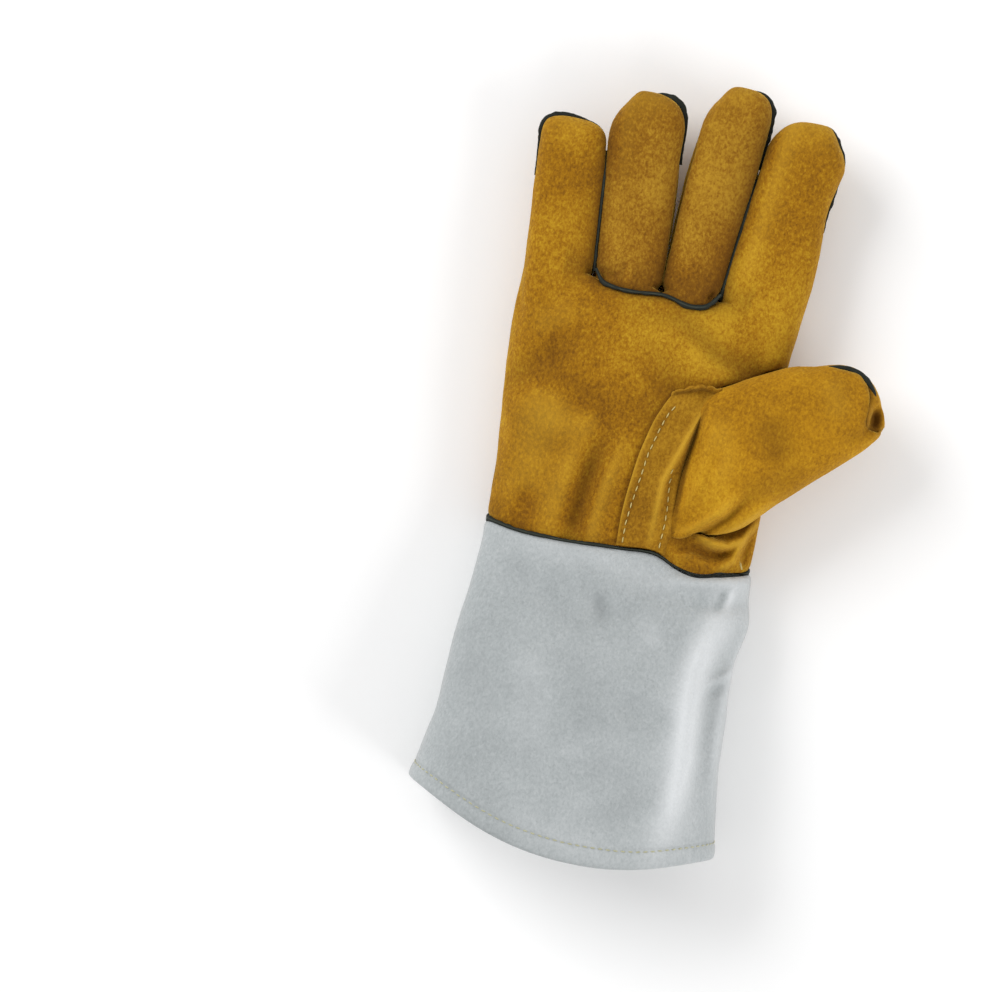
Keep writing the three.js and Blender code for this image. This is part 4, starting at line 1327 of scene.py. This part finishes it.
# Painted shading of the hand: shade in folds, gaps and finger roots, highlights on crests, flanks and tips
off_gap = [points[:, 0] - gap_x(i, points[:, 1]) for i in range(3)]
beside = np.min(np.abs(off_gap), axis=0)
right_flank = np.min([np.where(off < 0, -off, 99.0) for off in off_gap], axis=0)
left_flank = np.min([np.where(off > 0, off, 99.0) for off in off_gap], axis=0)
flank_glow = np.where(off_gap[2] > 0, 0.42, 0.14) * np.exp(-((left_flank - 7.5) / 5) ** 2)
flank_shade = np.where((off_gap[1] > 0) & (off_gap[2] < 0), 0.62, 0.34) * np.exp(-(right_flank / 10) ** 2)
gap_shade = (0.75 * np.exp(-(beside / 3.4) ** 2) + flank_shade) * step(points[:, 1], PALM - 8, PALM + 4)
gap_shade -= flank_glow * step(points[:, 1], PALM - 2, PALM + 24) + fold_heights(HAND_LIGHTS, points)
for f in FINGERS:
    tip = (points[:, :2] - (finger_at(f, f["length"])[0], PALM + f["length"])) / (16, 11)
    gap_shade -= 0.4 * np.exp(-np.linalg.norm(tip, axis=1) ** 2)
base_shade = 0.45 * np.exp(-((points[:, 1] - PALM - 3) / 7) ** 2) * (beside < 14)
# Painted shade and highlights, with those of HAND_LIGHTS, stored for the suede to darken or lighten
store(hand, "fold", np.clip(fold_heights(HAND_FOLDS, points) / 4.5 - gap_shade - base_shade, -1, 1) * top)

# The thumb's skin
thumb = remeshed(thumb_form(), 5)
points = points_of(thumb)
over = points[:, 2] - THUMB_HEIGHT
points[:, 2] += step(over, 0, 8) * fold_heights(THUMB_FOLDS, points)
for spot, radius, move in THUMB_GIVES:
    points[:, :2] -= np.outer(bell(points, spot, radius), move)
spot, half, depth = THUMB_HOLLOW
hollow = np.exp(-(np.linalg.norm((points[:, :2] - spot) / half, axis=1)) ** 2)
points[:, 2] -= depth * hollow * step(over, -4, 6)
for spot, radius, height in THUMB_DENTS:
    points += normals_of(thumb) * (height * bell(points, spot, radius) * step(over, -6, 4))[:, None]
points -= np.outer(thumb_pit(points), THUMB_PIT[2])
points += normals_of(thumb) * (0.5 * ripple(points, 24, 3) + 0.25 * ripple(points, 10, 4))[:, None]
place(thumb, points)
# Painted shade in the thumb's folds and in its tip's opening, painted highlights on its crests
thumb_shading = fold_heights(THUMB_FOLDS, points) / 4.0 * step(over, 0, 8) - 1.6 * thumb_pit(points)
store(thumb, "fold", np.clip(thumb_shading, -1, 1))

# The thumb is set into the hand: each is cut where it meets the other.
hand_tree, thumb_tree = tree_of(hand), tree_of(thumb)
cut_where_zero(hand, lambda points: signed(points, thumb_tree) - THUMB_GAP)
remove_faces(hand, signed(centres_of(hand), thumb_tree) < THUMB_GAP)
cut_where_zero(thumb, lambda points: signed(points, hand_tree) + THUMB_INSET)
remove_faces(thumb, signed(centres_of(thumb), hand_tree) < -THUMB_INSET)

# Both skins are cut along their seams, sewn and parted into panels.
cut_where_zero(hand, from_joint)
remove_faces(hand, from_joint(centres_of(hand)) < 0)
for field in (in_zone, over_side, over_knuckle, past_gap(0), past_gap(1), past_gap(2)):
    cut_where_zero(hand, field)
labels = panel_of(centres_of(hand))
sew(hand, labels, CROTCH_PUCKERS, 5, hand_shade)
cut_where_zero(thumb, over_thumb_side)
cut_where_zero(thumb, before_tip)
middles = centres_of(thumb)
thumb_labels = np.where((over_thumb_side(middles) > 0) & (before_tip(middles) > 0), 0, 1)
sew(thumb, thumb_labels, THUMB_PUCKERS, 6, thumb_shade)
panels = separated(hand, labels, PANELS)
panels.update(separated(thumb, thumb_labels, THUMB_PANELS))
for name, piece in panels.items():
    leather(piece, name, HAND_WALL, PANEL_SUEDES.get(name, BACK_SUEDE))
for name in panels:
    bpy.data.materials.remove(bpy.data.materials[name + "_mark"])

# The strap
strap, across, along = flat_grid("strap", 44, 120)
place(strap, strap_skin(across, along))
points = points_of(strap)
# Painted shadow under the strap's lip, painted shade along its border under the thumb and in the crease
from_border = away_from(points, along_line(STRAP_RIGHT, np.linspace(0, 1, 60)))
under_lip = away_from(points, along_line(STRAP_LIP, np.linspace(0, 1, 30)))
dark = np.maximum(np.exp(-from_border / 1.6), 0.9 * np.exp(-(under_lip / 0.9) ** 2))
store(strap, "seam", np.maximum(dark, beside_crease(points)))
# Painted highlights on the strap's ridge and left edge, painted shade along its stitches
strap_shading = [(STRAP_RIDGE, 1.6, 1.3), (STRAP_LEFT, 1.1, 0.9)]
strap_shading += [(line, 1.3, -0.5) for line in STRAP_STITCHES]
store(strap, "fold", np.clip(fold_heights(strap_shading, points), -1, 1))
strap_tree = tree_of(strap)
leather(strap, "thumb_strap", STRAP_WALL, STRAP_SUEDE)

# The cuff: an open tube whose edge is folded in and sewn down
CUFF_RINGS = cuff_rows()
cuff = wrapped("cuff", 260, len(CUFF_RINGS) - 1, cuff_skin)
points = points_of(cuff)
cuff_tree = tree_of(cuff)
# Painted highlights on the cuff's fold crests and painted shade in its hollows, with CUFF_LIGHTS
height = fold_heights(CUFF_FOLDS, points)
height = np.where(height > 0, height / 9, height / 12) + fold_heights(CUFF_LIGHTS, points)
store(cuff, "fold", np.clip(height * step(points[:, 2] - seam_height(points[:, 1]), 0, 8), -1, 1))
# Darker just under the joint and along the hem's sewn fold: partly seam colour, partly painted shade
from_top = joint_y(points[:, 0], points[:, 2]) - JOINT_EDGE - points[:, 1]
to_hem = points[:, 1] - hem_y(points[:, 0], points[:, 2])
hem_mark = 0.35 * np.exp(-((to_hem - HEM_FOLD) / 0.8) ** 2)
store(cuff, "seam", np.maximum(0.55 * np.exp(-from_top / 0.8), hem_mark))
cuff.name = cuff.data.name = "gauntlet_cuff_leather"
finish(cuff, GREY_SUEDE, "cuff_leather", "gauntlet_cuff", 60)

# The welt in the joint of hand and cuff
turn = np.linspace(0, 2 * math.pi, 361)
ring = trunk(-0.01 + 0 * turn, turn)
for _ in range(3):
    ring[:, 1] = joint_y(ring[:, 0], ring[:, 2])
middle = np.array([0, 0, SIDE_SEAM * WRIST_DEPTH])
tangent = np.roll(ring[:-1], -1, axis=0) - np.roll(ring[:-1], 1, axis=0)
outward = np.cross(tangent, (0, 1, 0))
outward = np.vstack([outward, outward[:1]])
outward *= np.sign((outward * (ring - middle)).sum(axis=1))[:, None]
outward /= np.linalg.norm(outward, axis=1)[:, None]
front = step(ring[:, 2], 0.4 * WRIST_DEPTH, 0.6 * WRIST_DEPTH)
width_in_front = np.interp(ring[:, 0] / WRIST, JOINT_WELT_PLACES, JOINT_WELT_WIDTHS)
joint_width = mix(JOINT_WELT_BACK, width_in_front, front)
joint_proud = mix(1.0, 0.15 + joint_width * 0.3, front)
inward = 0.4 + 0.9 * step(ring[:, 0], 50, 60)
welt("cuff_welt", ring - inward[:, None] * outward, outward, joint_width, joint_proud, 21, True, "cuff_welt")

# The welts under and beside the ring and middle fingers
knuckle_from, knuckle_to = float(gap_x(0, PALM)) + 0.2, float(gap_x(2, PALM)) - 0.2
knuckle_x = np.linspace(knuckle_from, knuckle_to, 60)
knuckle_line = [(x, y, ray_down(hand_tree, x, min(y - 2, PALM - 4))[0] - 0.45)
                for x, y in zip(knuckle_x, knuckle_y(knuckle_x))]
widths, prouds = KNUCKLE_WELT
welt("knuckle_welt", softened(knuckle_line, 3), [(0, 0, 1)] * 60, widths, prouds, 22, node="knuckle_welt")
for name, i, start, end, widths in GAP_WELTS:
    gap_line = []
    for y in np.linspace(start, end, 40):
        x = float(gap_x(i, y))
        gap_line.append((x, y, shoulder(x, y, 1.5) - 0.9 - 2.5 * step(y, end - 14, end)))
    welt(name, softened(gap_line, 3), [(0, 0, 1)] * 40, widths, [GAP_WELT_PROUD], 25 + i)

# The welts in the tips of the fingers and the thumb
for f in FINGERS:
    before, after, widths, prouds = TIP_WELTS[f["name"]]
    bend = np.sin(np.linspace(0, math.pi / 2, 24))
    dome = f["length"] - f["dome"] * (1 - bend)
    shaft = np.linspace(0, f["length"] - f["dome"], 60)[:-1]
    beyond = np.concatenate([shaft, dome])
    middle, half, _ = finger_at(f, beyond)
    y = PALM + beyond
    left = np.column_stack([middle - half + drawn_in(f, beyond, -1.0 + 0 * y), y, seam_height(y)])
    right = np.column_stack([middle + half + drawn_in(f, beyond, 1.0 + 0 * y), y, seam_height(y)])
    outline = np.vstack([left, right[::-1][1:]])
    run = run_of(outline)
    tip = run[len(left) - 1]
    outline = along_line(outline, np.linspace((tip - before) / run[-1], (tip + after) / run[-1], 60))
    heading = np.gradient(outline, axis=0)
    out = np.column_stack([-heading[:, 1], heading[:, 0], 0 * heading[:, 0]])
    out /= np.linalg.norm(out, axis=1)[:, None]
    path = softened(outline - out * 0.5 + (0, 0, 1.0), 6)
    name = f["name"] + "_tip_welt"
    welt(name, path, out + (0, 0, 0.35), widths, prouds, 23, node=name)
thumb_line, thumb_up = [], []
for x, y in along_line(THUMB_WELT_LINE, np.linspace(0, 1, 40)):
    spot, normal, _, _ = thumb_tree.find_nearest(Vector((x, y, 42)))
    thumb_line.append(tuple(spot - normal * 0.5))
    thumb_up.append(tuple(normal))
widths, prouds = THUMB_WELT
welt("thumb_welt", softened(thumb_line, 5), softened(thumb_up, 5), widths, prouds, 24, node="thumb_welt")

# The stitches: one is modelled and copied along each seam
stitched("strap_stitches", STRAP_STITCHES, strap_tree, CREAM_THREAD, "hand_leather", 2.7, 3.9, 0.6)
side_line = [tuple(p) for p in cuff_point(np.full(90, CUFF_STITCH_TURN), np.linspace(0.03, 0.93, 90))]
for name, line, length, pitch, width in (("hem_stitches", hem_line(HEM_FOLD), 2.1, 3.4, 0.62),
                                         ("cuff_side_stitches", side_line, 2.5, 3.6, 0.7)):
    stitched(name, [line], cuff_tree, YELLOW_THREAD, "cuff_leather", length, pitch, width, False)

# The tuft of loose thread ends at the heel of the thumb
tufts = []
for k in range(6):
    base = (55.2 + 0.25 * k, 0.6 + 0.2 * (k % 2))
    z = ray_down(hand_tree, 55.2, 2.5)[0] or 36.0
    sway = math.sin(k * 2.4)
    line = [(base[0], base[1], z - 1.5), (base[0] - 0.6 + 0.4 * sway, base[1] + 1.4, z + 0.2),
            (base[0] - 1.6 + 0.9 * sway, base[1] + 3.0 + 0.4 * math.cos(k), z + 0.9 + 0.3 * sway)]
    tufts.append(strand("tuft%d" % k, line, 0.5))
finish(joined(tufts, "thread_tuft"), CREAM_THREAD, "hand_leather")

# Floor, light and camera
floor_finish = Finish("paper")
floor_finish.use(Base_Color=(0.96, 0.96, 0.96, 1), Roughness=0.9)
deselect()
bpy.ops.mesh.primitive_plane_add(size=4, location=(0, 0, -0.0003))
floor = bpy.context.object
floor.name = "floor"
floor.data.materials.append(floor_finish.material)

softbox("softbox_left", (-1.4, 0.7, 1.2), 1.2, 25.0)
softbox("softbox_right", (1.5, -0.5, 0.9), 1.0, 16.0)
world = bpy.data.worlds.new("studio")
bpy.context.scene.world = world
world.use_nodes = True
world.node_tree.nodes["Background"].inputs["Color"].default_value = (1, 1, 1, 1)
world.node_tree.nodes["Background"].inputs["Strength"].default_value = 0.6
bpy.context.scene.view_settings.view_transform = "Standard"

camera_data = bpy.data.cameras.new("camera")
camera = bpy.data.objects.new("camera", camera_data)
bpy.context.scene.collection.objects.link(camera)
camera_data.sensor_width = SENSOR
camera_data.lens = SENSOR * CAMERA_HEIGHT / VIEW_WIDTH
middle = np.array(CAMERA_OVER) * MM + ORIGIN
camera.location = Vector(middle) + Vector((0, 0, CAMERA_HEIGHT))
camera.rotation_euler = (0, 0, CAMERA_TURN)
bpy.context.scene.camera = camera
